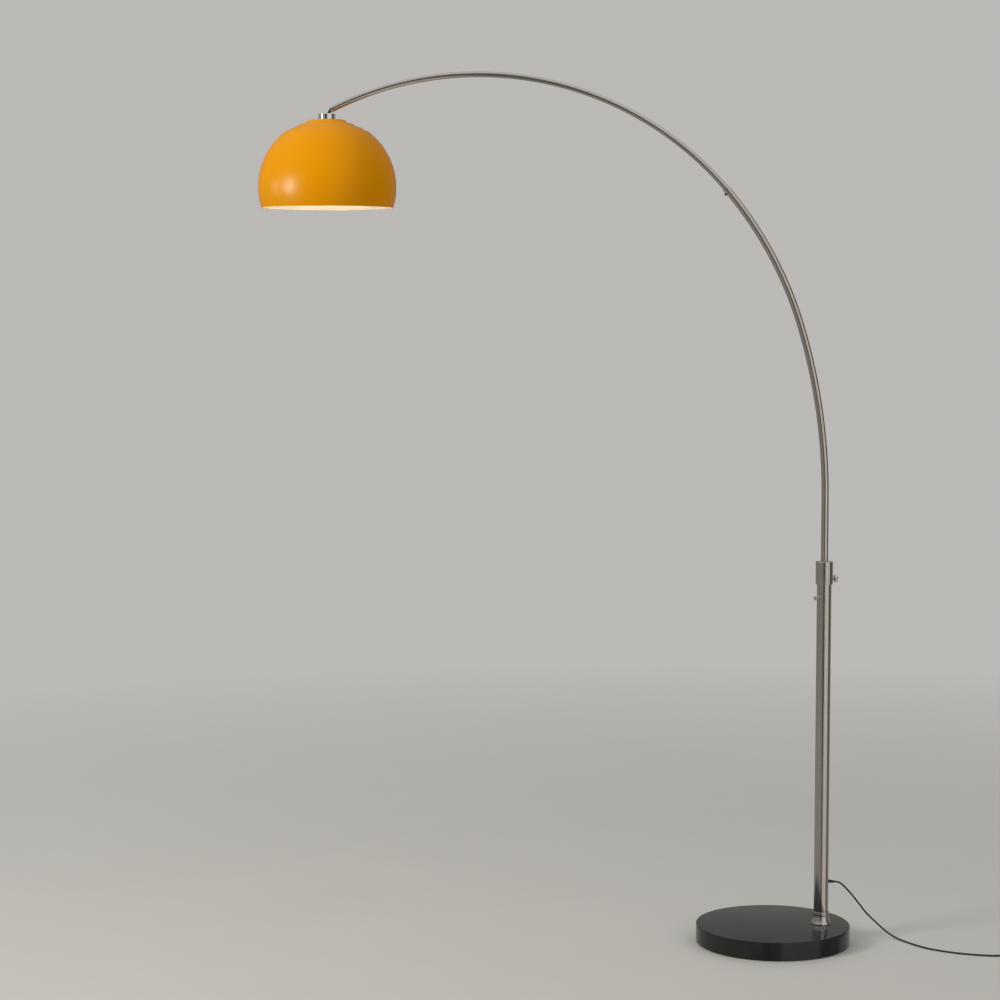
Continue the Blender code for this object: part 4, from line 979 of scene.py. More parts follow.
def make_switch_button():
    """A dished button with three raised rings for grip."""
    top = SWITCH_TOP + BUTTON_RISE
    low = SWITCH_TOP - BUTTON_DEPTH
    edge = 0.0004
    rim = [(0.0, low), (BUTTON_RADIUS - edge, low), (BUTTON_RADIUS, low + edge)]
    rim.append((BUTTON_RADIUS, top - BUTTON_ROLL))
    corner = (BUTTON_RADIUS - BUTTON_ROLL, top - BUTTON_ROLL)
    rim += arc(corner, BUTTON_ROLL, 0.0, math.pi / 2, 5)
    for ring in BUTTON_RINGS:
        for across in (0.0007, 0.0004, -0.0004, -0.0007):
            rim.append((ring + across, top - (0.0004 if abs(across) > 0.0005 else 0.0001)))
    rim.append((0.0, top - 0.0005))
    bm = lathe(rim, 72)
    return piece("foot_switch_button", bm, "switch_button", SWITCH_MIDDLE, BLACK_PLASTIC)


switch_base = make_switch_base()
switch_cover = make_switch_cover()
switch_button = make_switch_button()

# %% [markdown]
# ## The plug, its relief and the coil's tie
# A flat two-pin plug: the body narrows towards the cord, the pins are brass with a black
# sleeve on the half that stays in the socket's mouth. The tie is a flat rubber band round
# the bundle. The plug's grips are shallow bars across its top.

# %% Plug body and grips
PLUG_LENGTH = 0.036
PLUG_WIDE = 0.0175
PLUG_NARROW = 0.007
PIN_RADIUS = 0.002
PIN_LENGTH = 0.019
PIN_SPREAD = 0.0186
TIE_ANGLE = math.radians(200)
TIE_WIDTH = 0.004
TIE_THICK = 0.001
TIE_ROUNDING = 0.0022
RIB_SIZE = (0.022, 0.0012, 0.0008)
RIB_SUNK = 0.0002


def make_plug_body():
    shoulder = PLUG_LENGTH * 0.45
    corners = [
        (-PLUG_NARROW, 0),
        (PLUG_NARROW, 0),
        (PLUG_WIDE, shoulder),
        (PLUG_WIDE, PLUG_LENGTH),
        (-PLUG_WIDE, PLUG_LENGTH),
        (-PLUG_WIDE, shoulder),
    ]
    outline = rounded_outline(corners, 0.003, 6)
    bm = raised(outline, 0.0, PLUG_HEIGHT, 0.0022, 0.0022, 5)
    return piece("plug_shell", bm, "plug_body", PLUG_BACK, BLACK_PLASTIC)


def make_plug_ribs():
    """Low grip bars across the top of the plug."""
    bm = bmesh.new()
    for index in range(4):
        bar = bmesh.ops.create_cube(bm, size=1.0)["verts"]
        bmesh.ops.scale(bm, verts=bar, vec=RIB_SIZE)
        along = PLUG_LENGTH * (0.50 + 0.10 * index)
        place = PLUG_BACK + Vector((0, along, PLUG_HEIGHT - RIB_SUNK))
        bmesh.ops.translate(bm, verts=bar, vec=place)
    roll_over(bm, list(bm.edges), 0.0003, 2)
    return piece("plug_grip_ribs", bm, "plug_body", None, BLACK_PLASTIC, stands_in=False)


# %% [markdown]
# The pins are lathe shapes in two finishes, chosen face by face by height. The tie starts
# as two loops of edges, one inside the other, bridged and drawn out to its width.

# %% Pins, relief and tie
def make_pin(number, side):
    """A round pin: a black sleeve near the plug, a domed brass end past it."""
    sleeve_end = PIN_LENGTH * 0.52
    outline = [(0.0, 0.0), (PIN_RADIUS * 0.94, 0.0), (PIN_RADIUS * 0.94, sleeve_end)]
    outline.append((PIN_RADIUS, sleeve_end + 0.0002))
    for across, back in ((1.0, 0.7), (0.86, 0.3), (0.5, 0.06), (0.0, 0.0)):
        outline.append((PIN_RADIUS * across, PIN_LENGTH - PIN_RADIUS * back))
    bm = lathe(outline, 32)
    for face in bm.faces:
        face.material_index = 1 if face.calc_center_median().z < sleeve_end else 0
    root = PLUG_BACK + Vector((side * PIN_SPREAD / 2, PLUG_LENGTH, PLUG_HEIGHT / 2))
    place = aimed(root, SIDEWAYS)
    name = f"plug_pin_{number}"
    return piece(name + "_fine", bm, name, place, BRASS, BLACK_PLASTIC)


def make_plug_relief():
    outline = ribbed_taper(0.0, PLUG_RELIEF_LENGTH, 0.0042, 0.0026, CORD_BORE, 6, 0.0006)
    bm = lathe(outline, RELIEF_SIDES, closed=True)
    place = aimed(PLUG_BACK + Vector((0, 0, PLUG_HEIGHT / 2)), -SIDEWAYS)
    return piece("plug_strain_relief", bm, "plug_relief", place, RUBBER)


def make_tie():
    """A flat band round the bundle, square with rounded corners as seen along the cord."""
    low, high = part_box("coil_tie")
    middle = COIL_CENTRE + Vector((math.cos(TIE_ANGLE), math.sin(TIE_ANGLE), 0)) * COIL_MID_RADIUS
    middle.z = (low.z + high.z) / 2
    bm = bmesh.new()
    edges = []
    for inset in (0.0, TIE_THICK):
        reach = (high.z - low.z) / 2 - inset
        corners = [(-reach, -reach), (reach, -reach), (reach, reach), (-reach, reach)]
        outline = rounded_outline(corners, TIE_ROUNDING - inset, 6)
        ring = [bm.verts.new((x, -TIE_WIDTH / 2, y)) for x, y in outline]
        edges += [bm.edges.new(pair) for pair in zip(ring, ring[1:] + ring[:1])]
    bmesh.ops.bridge_loops(bm, edges=edges)
    draw_out(bm, (0, TIE_WIDTH, 0))
    place = Matrix.Translation(middle) @ Matrix.Rotation(TIE_ANGLE, 4, "Z")
    return piece("coil_band", bm, "coil_tie", place, RUBBER)


plug_shell = make_plug_body()
plug_ribs = make_plug_ribs()
pins = [make_pin(number, side) for number, side in ((1, -1), (2, 1))]
plug_relief = make_plug_relief()
tie = make_tie()

# %% [markdown]
# The first cord runs from the grommet to the switch; the second from the switch, through
# the coil, to the plug.

# %% [markdown]
# ## The base
# The slab is one lathe outline with small roundings at its edges. The hole for the bolt and
# its counterbore are cut from below, as in the real stone, and a felt disc covers them.

# %% Stone slab and felt
BASE_SIDES = 224


BOLT_HOLE = 0.0063
WASHER_ROOM = 0.003
COUNTERBORE = 0.012
PAST = 0.01


def make_base():
    axis, radius, low, high = upright("base_slab")
    bolt_axis = COLUMN_AXIS - axis
    outline = [(0, low, 0), (radius, low, 0.0010), (radius, high, 0.0016), (0, high, 0)]
    bm = turned(outline, BASE_SIDES, steps=5)
    bm = drilled(bm, BOLT_HOLE, low - PAST, high + PAST, bolt_axis, UP, 48)
    seat = upright("base_washer")[1] + WASHER_ROOM
    bm = drilled(bm, seat, low - PAST, low + COUNTERBORE, bolt_axis, UP, 64)
    piece("stone_slab", bm, "base_slab", axis, STONE)
    axis, radius, low, high = upright("base_pad")
    outline = [(0, low, 0), (radius, low, 0.0004), (radius, high, 0.0004), (0, high, 0)]
    piece("felt_disc", turned(outline, BASE_SIDES), "base_pad", axis, FELT)


make_base()

# %% [markdown]
# ## The column
# A straight tube with a turned foot and a turned head. The foot has a flare that sweeps out
# onto the stone under a thin grooved ring; the head is a thicker sleeve that holds the
# bush the arm slides in. Each is a lathe outline, and the screw holes are drilled through.

# %% Column
COLUMN_SIDES = 96
HEIGHT_SCREW_LOW, HEIGHT_SCREW_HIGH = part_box("height_thumb_screw")
HEIGHT_SCREW_Z = (HEIGHT_SCREW_LOW.z + HEIGHT_SCREW_HIGH.z) / 2
TURN_SCREW_LOW, TURN_SCREW_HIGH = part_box("turn_thumb_screw")
TURN_SCREW_Z = (TURN_SCREW_LOW.z + TURN_SCREW_HIGH.z) / 2
TURN_SCREW_ANGLE = math.radians(227)
TURN_SCREW_WAY = Vector((math.cos(TURN_SCREW_ANGLE), math.sin(TURN_SCREW_ANGLE), 0))
SCREW_RADIUS = 0.0027
SCREW_HOLE = SCREW_RADIUS + CLEAR


def make_column():
    bore = COLUMN_RADIUS - COLUMN_WALL
    edge = 0.0003
    outline = [
        (bore, COLUMN_LOW, 0),
        (COLUMN_RADIUS, COLUMN_LOW, edge),
        (COLUMN_RADIUS, COLUMN_HIGH, edge),
        (bore, COLUMN_HIGH, 0),
    ]
    bm = turned(outline, COLUMN_SIDES, closed=True)
    for height, way, radius in (
        (HEIGHT_SCREW_Z, RIGHT, SCREW_HOLE),
        (TURN_SCREW_Z, TURN_SCREW_WAY, SCREW_HOLE),
        (EXIT_ROOT.z, EXIT_WAY, GROMMET_RADIUS + CLEAR),
    ):
        bm = drilled(bm, radius, bore / 2, 2 * COLUMN_RADIUS, UP * height, way)
    return piece("column_fine", bm, "column_tube", COLUMN_AXIS, COLUMN_STEEL)


make_column()

# %% [markdown]
# The foot's flare is a power curve, steep under the ring and flat at the stone. The head is
# the sleeve with the bush in it, drilled on the right for the height screw.

# %% Foot and head
RING_HEIGHT = 0.0075
RING_GROOVE = 0.0006
RIM_HEIGHT = 0.0020
FLARE_STEPS = 16
FLARE_SWEEP = 1.7


def make_foot():
    axis, flare_radius, low, high = upright("foot_collar")
    bore = COLUMN_RADIUS + CLEAR
    waist, band = bore + 0.0009, bore + 0.0018
    band_low = high - RING_HEIGHT
    rim = low + RIM_HEIGHT
    rise = band_low - 0.0012 - rim
    outline = [(bore, low), (flare_radius - 0.0004, low), (flare_radius, low + 0.0004)]
    for step in range(FLARE_STEPS + 1):
        t = step / FLARE_STEPS
        sweep = (1 - t) ** FLARE_SWEEP
        outline.append((waist + (flare_radius - waist) * sweep, rim + rise * t))
    middle = (band_low + high) / 2
    ring = [
        (waist, band_low - 0.0004, 0.0002),
        (band, band_low, 0.0005),
        (band, middle - 0.0005, 0.0001),
        (band - RING_GROOVE, middle - 0.0002, 0.0001),
        (band - RING_GROOVE, middle + 0.0002, 0.0001),
        (band, middle + 0.0005, 0.0001),
        (band, high, 0.0006),
        (bore, high, 0.0002),
    ]
    outline += eased([(*outline[-1], 0), *ring])[1:]
    bm = lathe(outline, COLUMN_SIDES, closed=True)
    return piece("column_foot", bm, "foot_collar", axis, COLUMN_STEEL)


def make_head_sleeve():
    axis, radius, low, high = upright("column_collar")
    bore = COLUMN_RADIUS + CLEAR
    seat = COLUMN_HIGH + CLEAR
    bush = upright("collar_bush")[1] + CLEAR
    outline = [
        (bore, low, 0.0002),
        (radius, low, 0.0006),
        (radius, high, 0.0012),
        (bush, high, 0.0003),
        (bush, seat, 0),
        (bore, seat, 0),
    ]
    bm = turned(outline, COLUMN_SIDES, closed=True)
    bm = drilled(bm, SCREW_HOLE, bore / 2, 2 * radius, UP * HEIGHT_SCREW_Z, RIGHT)
    return piece("column_head", bm, "column_collar", axis, COLUMN_STEEL)


make_foot()
make_head_sleeve()

# %% [markdown]
# ## The thumb screws
# Two bright screws hold the arm: a round knob on the right of the head sets its height and
# a slim one on the left below sets the way it points. The round knob has a coined edge, made
# by drawing in every second pair of rows of points round its rim; the slim one is a plain
# bar with a turned groove and a domed end.

# %% Thumb screws
KNOB_SIDES = 96
COIN_DEPTH = 0.00022
RIM_FROM = 0.97
SLIM_RADIUS = 0.005
SLIM_START = 0.0009
SLIM_LENGTH = 0.0168
SLIM_GROOVE = 0.0042


def coin_edge(bm, radius):
    """Draw in every second pair of rows of points at a rim's full radius."""
    step = FULL_TURN / KNOB_SIDES
    for vert in bm.verts:
        reach = math.hypot(vert.co.x, vert.co.y)
        row = round(math.atan2(vert.co.y, vert.co.x) / step)
        if reach > RIM_FROM * radius and row % 4 in (0, 1):
            vert.co.x *= 1 - COIN_DEPTH / radius
            vert.co.y *= 1 - COIN_DEPTH / radius


def make_height_knob():
    start = HEIGHT_SCREW_LOW.x - COLUMN_AXIS.x
    end = HEIGHT_SCREW_HIGH.x - COLUMN_AXIS.x
    radius = (HEIGHT_SCREW_HIGH.z - HEIGHT_SCREW_LOW.z) / 2
    neck = upright("column_collar")[1] + 4 * CLEAR
    outline = [
        (0, start, 0),
        (SCREW_RADIUS, start, 0.0004),
        (SCREW_RADIUS, neck, 0),
        (radius * 0.52, neck, 0.0004),
        (radius * 0.70, neck + 0.0012, 0.0003),
        (radius, neck + 0.0024, 0.0007),
        (radius, end - 0.0030, 0.0010),
        (radius * 0.80, end - 0.0005, 0.0014),
        (radius * 0.50, end, 0.0010),
        (0, end - 0.0003, 0),
    ]
    bm = turned(outline, KNOB_SIDES)
    coin_edge(bm, radius)
    place = aimed(COLUMN_AXIS + UP * HEIGHT_SCREW_Z, RIGHT)
    return piece("height_knob", bm, "height_thumb_screw", place, KNOB_STEEL)


def make_turn_knob():
    tip = COLUMN_RADIUS - COLUMN_WALL
    knob = COLUMN_RADIUS + SLIM_START
    end = knob + SLIM_LENGTH
    radius = SLIM_RADIUS
    groove = end - SLIM_GROOVE
    outline = [
        (0, tip, 0),
        (SCREW_RADIUS, tip, 0.0003),
        (SCREW_RADIUS, knob, 0),
        (radius, knob, 0.0005),
        (radius, groove - 0.0007, 0.0002),
        (radius - 0.0005, groove - 0.0003, 0.0001),
        (radius - 0.0005, groove + 0.0003, 0.0001),
        (radius, groove + 0.0007, 0.0002),
        (radius, end - 0.0006, 0.0010),
        (radius * 0.5, end, 0.0012),
        (0, end, 0),
    ]
    place = aimed(COLUMN_AXIS + UP * TURN_SCREW_Z, TURN_SCREW_WAY)
    return piece("turning_knob", turned(outline, 64), "turn_thumb_screw", place, KNOB_STEEL)


make_height_knob()
make_turn_knob()

# %% [markdown]
# ## The arm
# Two steel tubes make the arc. The lower one stands straight in the column and then bends
# over in two arcs; the upper one is slimmer, fits inside it and carries on in one arc. Each
# starts as a circle, is drawn out straight and spun round each bend's centre. Following a
# path with a curve would work too, but the spin keeps every ring square to the bend and
# lets the tube be mapped in metres along and around, for its brush marks.

# %% The arm's line
ARM_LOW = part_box("lower_arc_tube")[0].z
ARM_STRAIGHT = 0.460
ARM_RADIUS = 0.008
ARM_WALL = 0.0013
UPPER_RADIUS = ARM_RADIUS - ARM_WALL - CLEAR
UPPER_WALL = 0.0012
LOWER_BENDS = ((1.285, math.radians(17.1)), (0.826, math.radians(24.0)))
UPPER_BEND = (0.711, math.radians(75.8))
ARM_STEP = math.radians(0.8)
TUBE_SIDES = 48


def outward(heading):
    """From the inside of the bend to the outside."""
    return Vector((math.cos(heading), 0, math.sin(heading)))


def onward(heading):
    """Along the arm, towards the shade."""
    return Vector((-math.sin(heading), 0, math.cos(heading)))


def along_bends(start, heading, bends):
    """Each bend's centre, radius, first heading, turn and end, from a starting point."""
    stops = []
    for radius, turn in bends:
        centre = start - radius * outward(heading)
        stops.append((centre, radius, heading, turn))
        heading += turn
        start = centre + radius * outward(heading)
    return stops, start, heading


ARM_START = Vector((COLUMN_AXIS.x, 0, ARM_LOW))
BEND_START = ARM_START + UP * ARM_STRAIGHT
LOWER_STOPS, JOINT_PLACE, JOINT_HEADING = along_bends(BEND_START, 0.0, LOWER_BENDS)
UPPER_STOPS, ARM_END, ARM_END_HEADING = along_bends(JOINT_PLACE, JOINT_HEADING, [UPPER_BEND])
print(f"joint at {JOINT_PLACE}, arm ends at {ARM_END}")

# %% [markdown]
# The brush marks need to know how far along the tube each point lies. The map is worked out
# from the bends: a face past the start of a bend is measured by its angle round the centre.

# %% A map along the tube
def lay_map(bm, start, straight, bends):
    """A UV map in metres: u along the tube, v around it."""
    layer = bm.loops.layers.uv.new("along")
    for face in bm.faces:
        middle = face.calc_center_median()
        bend, gone = None, straight
        for centre, radius, heading, turn in bends:
            spoke = middle - centre
            swept = math.atan2(spoke.z, spoke.x) - heading
            if swept > -0.0001:
                bend, before = (centre, radius, heading), gone
            gone += radius * turn
        around = []
        for loop in face.loops:
            place = loop.vert.co
            if bend:
                centre, radius, heading = bend
                spoke = place - centre
                angle = math.atan2(spoke.z, spoke.x)
                along = before + radius * (angle - heading)
                side = math.hypot(spoke.x, spoke.z) - radius
            else:
                along = (place - start).z
                side = place.x - start.x
            around.append((along, math.atan2(place.y, side), loop))
        spread = [angle for _, angle, _ in around]
        wraps = max(spread) - min(spread) > math.pi
        for along, angle, loop in around:
            if wraps and angle < 0:
                angle += FULL_TURN
            loop[layer].uv = (along, angle * ARM_RADIUS)


# %% [markdown]
# The ring is extruded for the straight part and spun for each bend. Its wall comes from a
# Solidify modifier, and the upper tube starts a little way inside the lower one.

# %% Arc tubes
def bent_tube(radius, start, heading, straight, bends):
    """One arc tube: a ring drawn out and spun round its bends, its wall not yet added."""
    bm = bmesh.new()
    verts = bmesh.ops.create_circle(bm, radius=radius, segments=TUBE_SIDES)["verts"]
    turn = UP.rotation_difference(onward(heading)).to_matrix()
    bmesh.ops.rotate(bm, verts=verts, cent=(0, 0, 0), matrix=turn)
    bmesh.ops.translate(bm, verts=verts, vec=start)
    last = list(bm.edges)
    if straight:
        grown = bmesh.ops.extrude_edge_only(bm, edges=last)["geom"]
        verts = grown_verts(grown)
        bmesh.ops.translate(bm, verts=verts, vec=onward(heading) * straight)
        held = set(verts)
        last = [e for e in bm.edges if held.issuperset(e.verts)]
    for centre, _, _, turn in bends:
        verts = list({vert for edge in last for vert in edge.verts})
        swept = bmesh.ops.spin(
            bm,
            geom=verts + last,
            cent=centre,
            axis=(0, -1, 0),
            angle=turn,
            steps=round(turn / ARM_STEP),
            use_merge=False,
            use_duplicate=False,
        )
        last = [item for item in swept["geom_last"] if isinstance(item, bmesh.types.BMEdge)]
    bmesh.ops.remove_doubles(bm, verts=bm.verts, dist=MERGE)
    bmesh.ops.recalc_face_normals(bm, faces=bm.faces)
    lay_map(bm, start, straight, bends)
    return bm


def add_wall(tube, wall):
    solid = tube.modifiers.new("wall", "SOLIDIFY")
    solid.thickness = wall
    solid.offset = -1
    solid.use_even_offset = True
    break_edges(tube, 60)


INSIDE_TURN = math.radians(3.0)


def make_arc_tubes():
    bm = bent_tube(ARM_RADIUS, ARM_START, 0.0, ARM_STRAIGHT, LOWER_STOPS)
    add_wall(piece("lower_arc", bm, "lower_arc_tube", None, ARM_STEEL), ARM_WALL)
    centre, radius, heading, turn = LOWER_STOPS[-1]
    inside = heading + turn - INSIDE_TURN
    first = (centre, radius, inside, INSIDE_TURN)
    start = centre + radius * outward(inside)
    bm = bent_tube(UPPER_RADIUS, start, inside, 0.0, [first, *UPPER_STOPS])
    add_wall(piece("upper_arc", bm, "upper_arc_tube", None, ARM_STEEL), UPPER_WALL)


make_arc_tubes()

# %% [markdown]
# A small black set screw through the lower tube holds the upper one. It is a short turned
# head with a hexagon socket, which a six-sided tool cuts.

# %% Joint screw
JOINT_BACK = 0.012
JOINT_SHANK = 0.0018
JOINT_HEAD = 0.0028
SOCKET_RADIUS = 0.00145
SOCKET_DEPTH = 0.0016


def make_joint_screw():
    centre, radius, heading, turn = LOWER_STOPS[-1]
    there = heading + turn - JOINT_BACK / radius
    place = aimed(centre + radius * outward(there), -outward(there))
    face = ARM_RADIUS + CLEAR
    top = face + JOINT_HEAD
    outline = [
        (0, UPPER_RADIUS + CLEAR, 0),
        (JOINT_SHANK, UPPER_RADIUS + CLEAR, 0.0003),
        (JOINT_SHANK, face, 0),
        (JOINT_HEAD, face, 0.0002),
        (JOINT_HEAD, top, 0.0006),
        (0, top, 0),
    ]
    low, high = top - SOCKET_DEPTH, top + 0.001
    socket = lathe([(0, low), (SOCKET_RADIUS, low), (SOCKET_RADIUS, high), (0, high)], 6)
    bm = cut(turned(outline, 48), socket)
    return piece("arc_set_screw", bm, "arc_joint_screw", place, FIXING_STEEL)


make_joint_screw()

# %% [markdown]
# ## The swivel
# The arm ends in a flat steel lug with a hole. It drops into a slot across a short bright
# cap on top of the shade, and a pin through both lets the shade tilt. The cap is turned,
# then slotted with a cube and drilled; a Bevel modifier breaks the lug's edges.

# %% Swivel
SHADE_AXIS, SHADE_RADIUS, SHADE_LOW, SHADE_TOP = upright("shade")
CAP_AXIS, CAP_RADIUS, CAP_LOW, CAP_TOP = upright("swivel_cap")
PIVOT = ARM_END + Vector((-0.0077, 0.0, -0.0145))
LUG_RADIUS = 0.0032
LUG_THICK = 0.004
CAP_SLOT_HALF = 0.0105
PIN_HOLE = 0.0018
PIN_REACH = 0.0103
NIPPLE_HOLE = 0.0053
SLOT_FLOOR = 0.0027
SAW_PAST = 0.006
STOPPER_LENGTH = 0.013


def make_lug():
    """A flat link with round ends, from inside the arm's mouth down to the pin."""
    link = Vector((PIVOT.x - ARM_END.x, PIVOT.z - ARM_END.z))
    side = Vector((-link.y, link.x)).normalized() * LUG_RADIUS
    start = math.atan2(side.y, side.x)
    steps = 20
    bm = bmesh.new()
    rim = []
    for around, foot in ((0.0, Vector((0.0, 0.0))), (math.pi, link)):
        for step in range(steps + 1):
            angle = start + around + math.pi * step / steps
            spot = foot + Vector((math.cos(angle), math.sin(angle))) * LUG_RADIUS
            rim.append(bm.verts.new((spot.x, -LUG_THICK / 2, spot.y)))
    bm.faces.new(rim)
    draw_out(bm, (0, LUG_THICK, 0))
    bm = drilled(bm, PIN_HOLE, -LUG_THICK, LUG_THICK, PIVOT - ARM_END, SIDEWAYS)
    return break_edges(piece("arm_lug", bm, "arm_end_plug", ARM_END, KNOB_STEEL), 40)


def make_arm_stopper():
    """The round plug that closes the arm's mouth behind the lug."""
    wide = UPPER_RADIUS - UPPER_WALL - CLEAR
    outline = [(0, 0, 0), (wide, 0, 0.0004), (wide, STOPPER_LENGTH, 0.0004), (0, STOPPER_LENGTH, 0)]
    place = aimed(ARM_END, -onward(ARM_END_HEADING - 0.012))
    bm = turned(outline, 48)
    return piece("arm_mouth_stopper", bm, "arm_end_plug", place, KNOB_STEEL, stands_in=False)


def make_cap():
    outline = [
        (NIPPLE_HOLE, CAP_LOW, 0),
        (CAP_RADIUS, CAP_LOW, 0.0004),
        (CAP_RADIUS, CAP_TOP, 0.0010),
        (NIPPLE_HOLE, CAP_TOP, 0),
    ]
    bm = turned(outline, COLUMN_SIDES, closed=True, steps=5)
    saw = bmesh.new()
    bmesh.ops.create_cube(saw, size=1.0)
    floor = CAP_LOW + SLOT_FLOOR
    height = CAP_TOP + SAW_PAST - floor
    bmesh.ops.scale(saw, verts=saw.verts, vec=(2 * CAP_SLOT_HALF, LUG_THICK + 2 * CLEAR, height))
    bmesh.ops.translate(saw, verts=saw.verts, vec=(0, 0, floor + height / 2))
    bm = drilled(cut(bm, saw), PIN_HOLE, -PIN_REACH, 0.03, UP * PIVOT.z, SIDEWAYS)
    return piece("swivel_cap_fine", bm, "swivel_cap", CAP_AXIS, KNOB_STEEL)


make_lug()
make_arm_stopper()
make_cap()

# %% [markdown]
# ## The shade
# A disc of aluminium spun over a former: a small flat top, three turned steps, and then most
# of a ball, cut off below its middle. One closed outline holds the outside, the rim and the
# inside, and the spin makes the whole shell in one piece, so the wall is real and the two
# colours can meet at the rim. Faces that look towards the ball's centre get the white.

# %% Shade
SHADE_SIDES = 176
SHADE_WALL = 0.0012
FLAT_RADIUS = 0.038
# Each step near the top: a radius, how far under the true ball it lies, and its rounding.
SHADE_STEPS = (
    (0.0455, 0.0038, 0.0016),
    (0.0565, 0.0026, 0.0016),
    (0.0635, 0.0044, 0.0016),
    (0.0755, 0.0023, 0.0016),
    (0.0840, 0.0028, 0.0020),
)
DOME_RADIUS = 0.089
DOME_STEPS = 44


def shade_outline():
    centre = SHADE_TOP - math.sqrt(SHADE_RADIUS**2 - FLAT_RADIUS**2)
    rim = -math.asin((centre - SHADE_LOW) / SHADE_RADIUS)
    start = math.acos(DOME_RADIUS / SHADE_RADIUS)
    top = [(NIPPLE_HOLE, SHADE_TOP, 0), (FLAT_RADIUS, SHADE_TOP, 0.0025)]
    for radius, inset, rounding in SHADE_STEPS:
        top.append((radius, centre + math.sqrt(SHADE_RADIUS**2 - radius**2) - inset, rounding))
    dome = arc((0.0, centre), SHADE_RADIUS, start, rim, DOME_STEPS)
    inside_dome = arc((0.0, centre), SHADE_RADIUS - SHADE_WALL, start, rim, DOME_STEPS)
    outer = [*eased([*top, (*dome[0], 0)], steps=4)[:-1], *dome]
    lowered = [(radius, height - SHADE_WALL, rounding) for radius, height, rounding in top]
    inner = [*eased([*lowered, (*inside_dome[0], 0)], steps=4)[:-1], *inside_dome]
    lip = Vector(outer[-1]).lerp(Vector(inner[-1]), 0.5)
    return [*outer, tuple(lip), *inner[::-1]], centre


def make_shade():
    outline, centre = shade_outline()
    bm = lathe(outline, SHADE_SIDES, closed=True)
    for face in bm.faces:
        away = face.calc_center_median() - UP * centre
        face.material_index = 1 if face.normal.dot(away) < 0 else 0
    return piece("shade_dome", bm, "shade", SHADE_AXIS, YELLOW_LACQUER, WHITE_LACQUER)


make_shade()

# %% [markdown]
# ## Lampholder and bulb
# Inside hangs a white lampholder, a domed cap over a plain skirt, with a round frosted bulb
# screwed into it. The bulb really lights the shade's white inside, because its glass is an
# emitter, so the glow moves with the shade when the arm swings.

# %% Lampholder and bulb
HOLDER_SIDES = 72
HOLDER_WALL = 0.002
NECK_RADIUS = 0.0133
NECK_STEPS = 14
GLASS_WALL = 0.001


def make_holder_cap():
    axis, radius, low, high = upright("lampholder_cap")
    inner = radius - HOLDER_WALL
    outline = [
        (NIPPLE_HOLE, high, 0),
        (0.0088, high, 0.0008),
        (0.0120, high - 0.0030, 0.0020),
        (0.0165, high - 0.0080, 0.0050),
        (radius, high - 0.0140, 0.0050),
        (radius, low, 0.0004),
        (inner, low, 0.0002),
        (inner, high - 0.0150, 0.0040),
        (0.0145, high - 0.0095, 0.0040),
        (0.0105, high - 0.0050, 0.0020),
        (NIPPLE_HOLE, high - 0.0030, 0),
    ]
    bm = turned(outline, HOLDER_SIDES, closed=True, steps=4)
    return piece("holder_cap", bm, "lampholder_cap", axis, HOLDER_PLASTIC)


def make_holder_skirt():
    """A plain tube with a ribbed band for the fingers near its top."""
    axis, radius, low, high = upright("lampholder_skirt")
    inner = radius - HOLDER_WALL
    outline = [(inner, low, 0.0003), (radius, low, 0.0008)]
    for rib in range(6):
        foot = high - 0.0030 - 0.0022 * (5 - rib)
        outline += [
            (radius, foot - 0.0011, 0.0001),
            (radius - 0.0004, foot - 0.0008, 0.0001),
            (radius - 0.0004, foot - 0.0003, 0.0001),
            (radius, foot, 0.0001),
        ]
    outline += [(radius, high, 0.0004), (inner, high, 0.0002)]
    bm = turned(outline, HOLDER_SIDES, closed=True, steps=2)
    return piece("holder_skirt", bm, "lampholder_skirt", axis, HOLDER_PLASTIC)


def make_bulb():
    """A globe bulb as one closed shell, its neck easing into the ball."""
    axis, radius, low, high = upright("bulb_glass")
    centre = low + radius
    outer = []
    for step in range(NECK_STEPS):
        t = step / NECK_STEPS
        ease = t * t * (3 - 2 * t)
        outer.append((NECK_RADIUS + (radius - NECK_RADIUS) * ease, high + (centre - high) * t))
    outer += arc((0.0, centre), radius, 0.0, -math.pi / 2, 16)[:-1]
    inner = [(across - GLASS_WALL, height) for across, height in outer]
    outline = [(0.0, low + GLASS_WALL), *inner[-2::-1], *outer, (0.0, low)]
    return piece("bulb_globe", lathe(outline, HOLDER_SIDES), "bulb_glass", axis, BULB_GLASS)


make_holder_cap()
make_holder_skirt()
make_bulb()

# %% [markdown]
# ## CAD nodes that stay
# Fixings and bushes that are mostly hidden keep their CAD meshes, because their shapes are
# right. Each only takes its finish, put into the slot that its mesh already has.

# %% Finishes for kept nodes
KEPT = {
    ZINC: ["base_washer", "base_bolt", "foot_plug", "swivel_pin", "shade_nut"],
    NYLON: ["collar_bush", "arm_guide_sleeve", "arm_foot_bush"],
    BRASS: ["threaded_nipple", "lampholder_shell", "lampholder_contact", "bulb_cap"],
    CERAMIC: ["lampholder_core"],
    INNER_FLEX: ["flex_in_column", "flex_in_arm", "flex_in_head"],
}
for finish, names in KEPT.items():
    for name in names:
        for slot in NODES[name].material_slots:
            slot.material = finish
print(f"{sum(len(names) for names in KEPT.values())} CAD nodes kept")

# %% [markdown]
# ## The studio
# A plain pale floor that fades out at its edge, so that no horizon cuts the picture. Steel
# and polished stone show whatever stands round them, so the studio's walls matter more than
# its lamps: the world is a ring of pale and dark flats, seen only in reflections and as
# light, while the camera itself sees one even grey.

# %% Floor
FLOOR_RADIUS = 4.5
FLOOR_FADE = (0.30 * FLOOR_RADIUS, 0.95 * FLOOR_RADIUS)
MIRRORED_FLOOR = 0.25
BACKDROP = rgb(0.50, 0.485, 0.470)


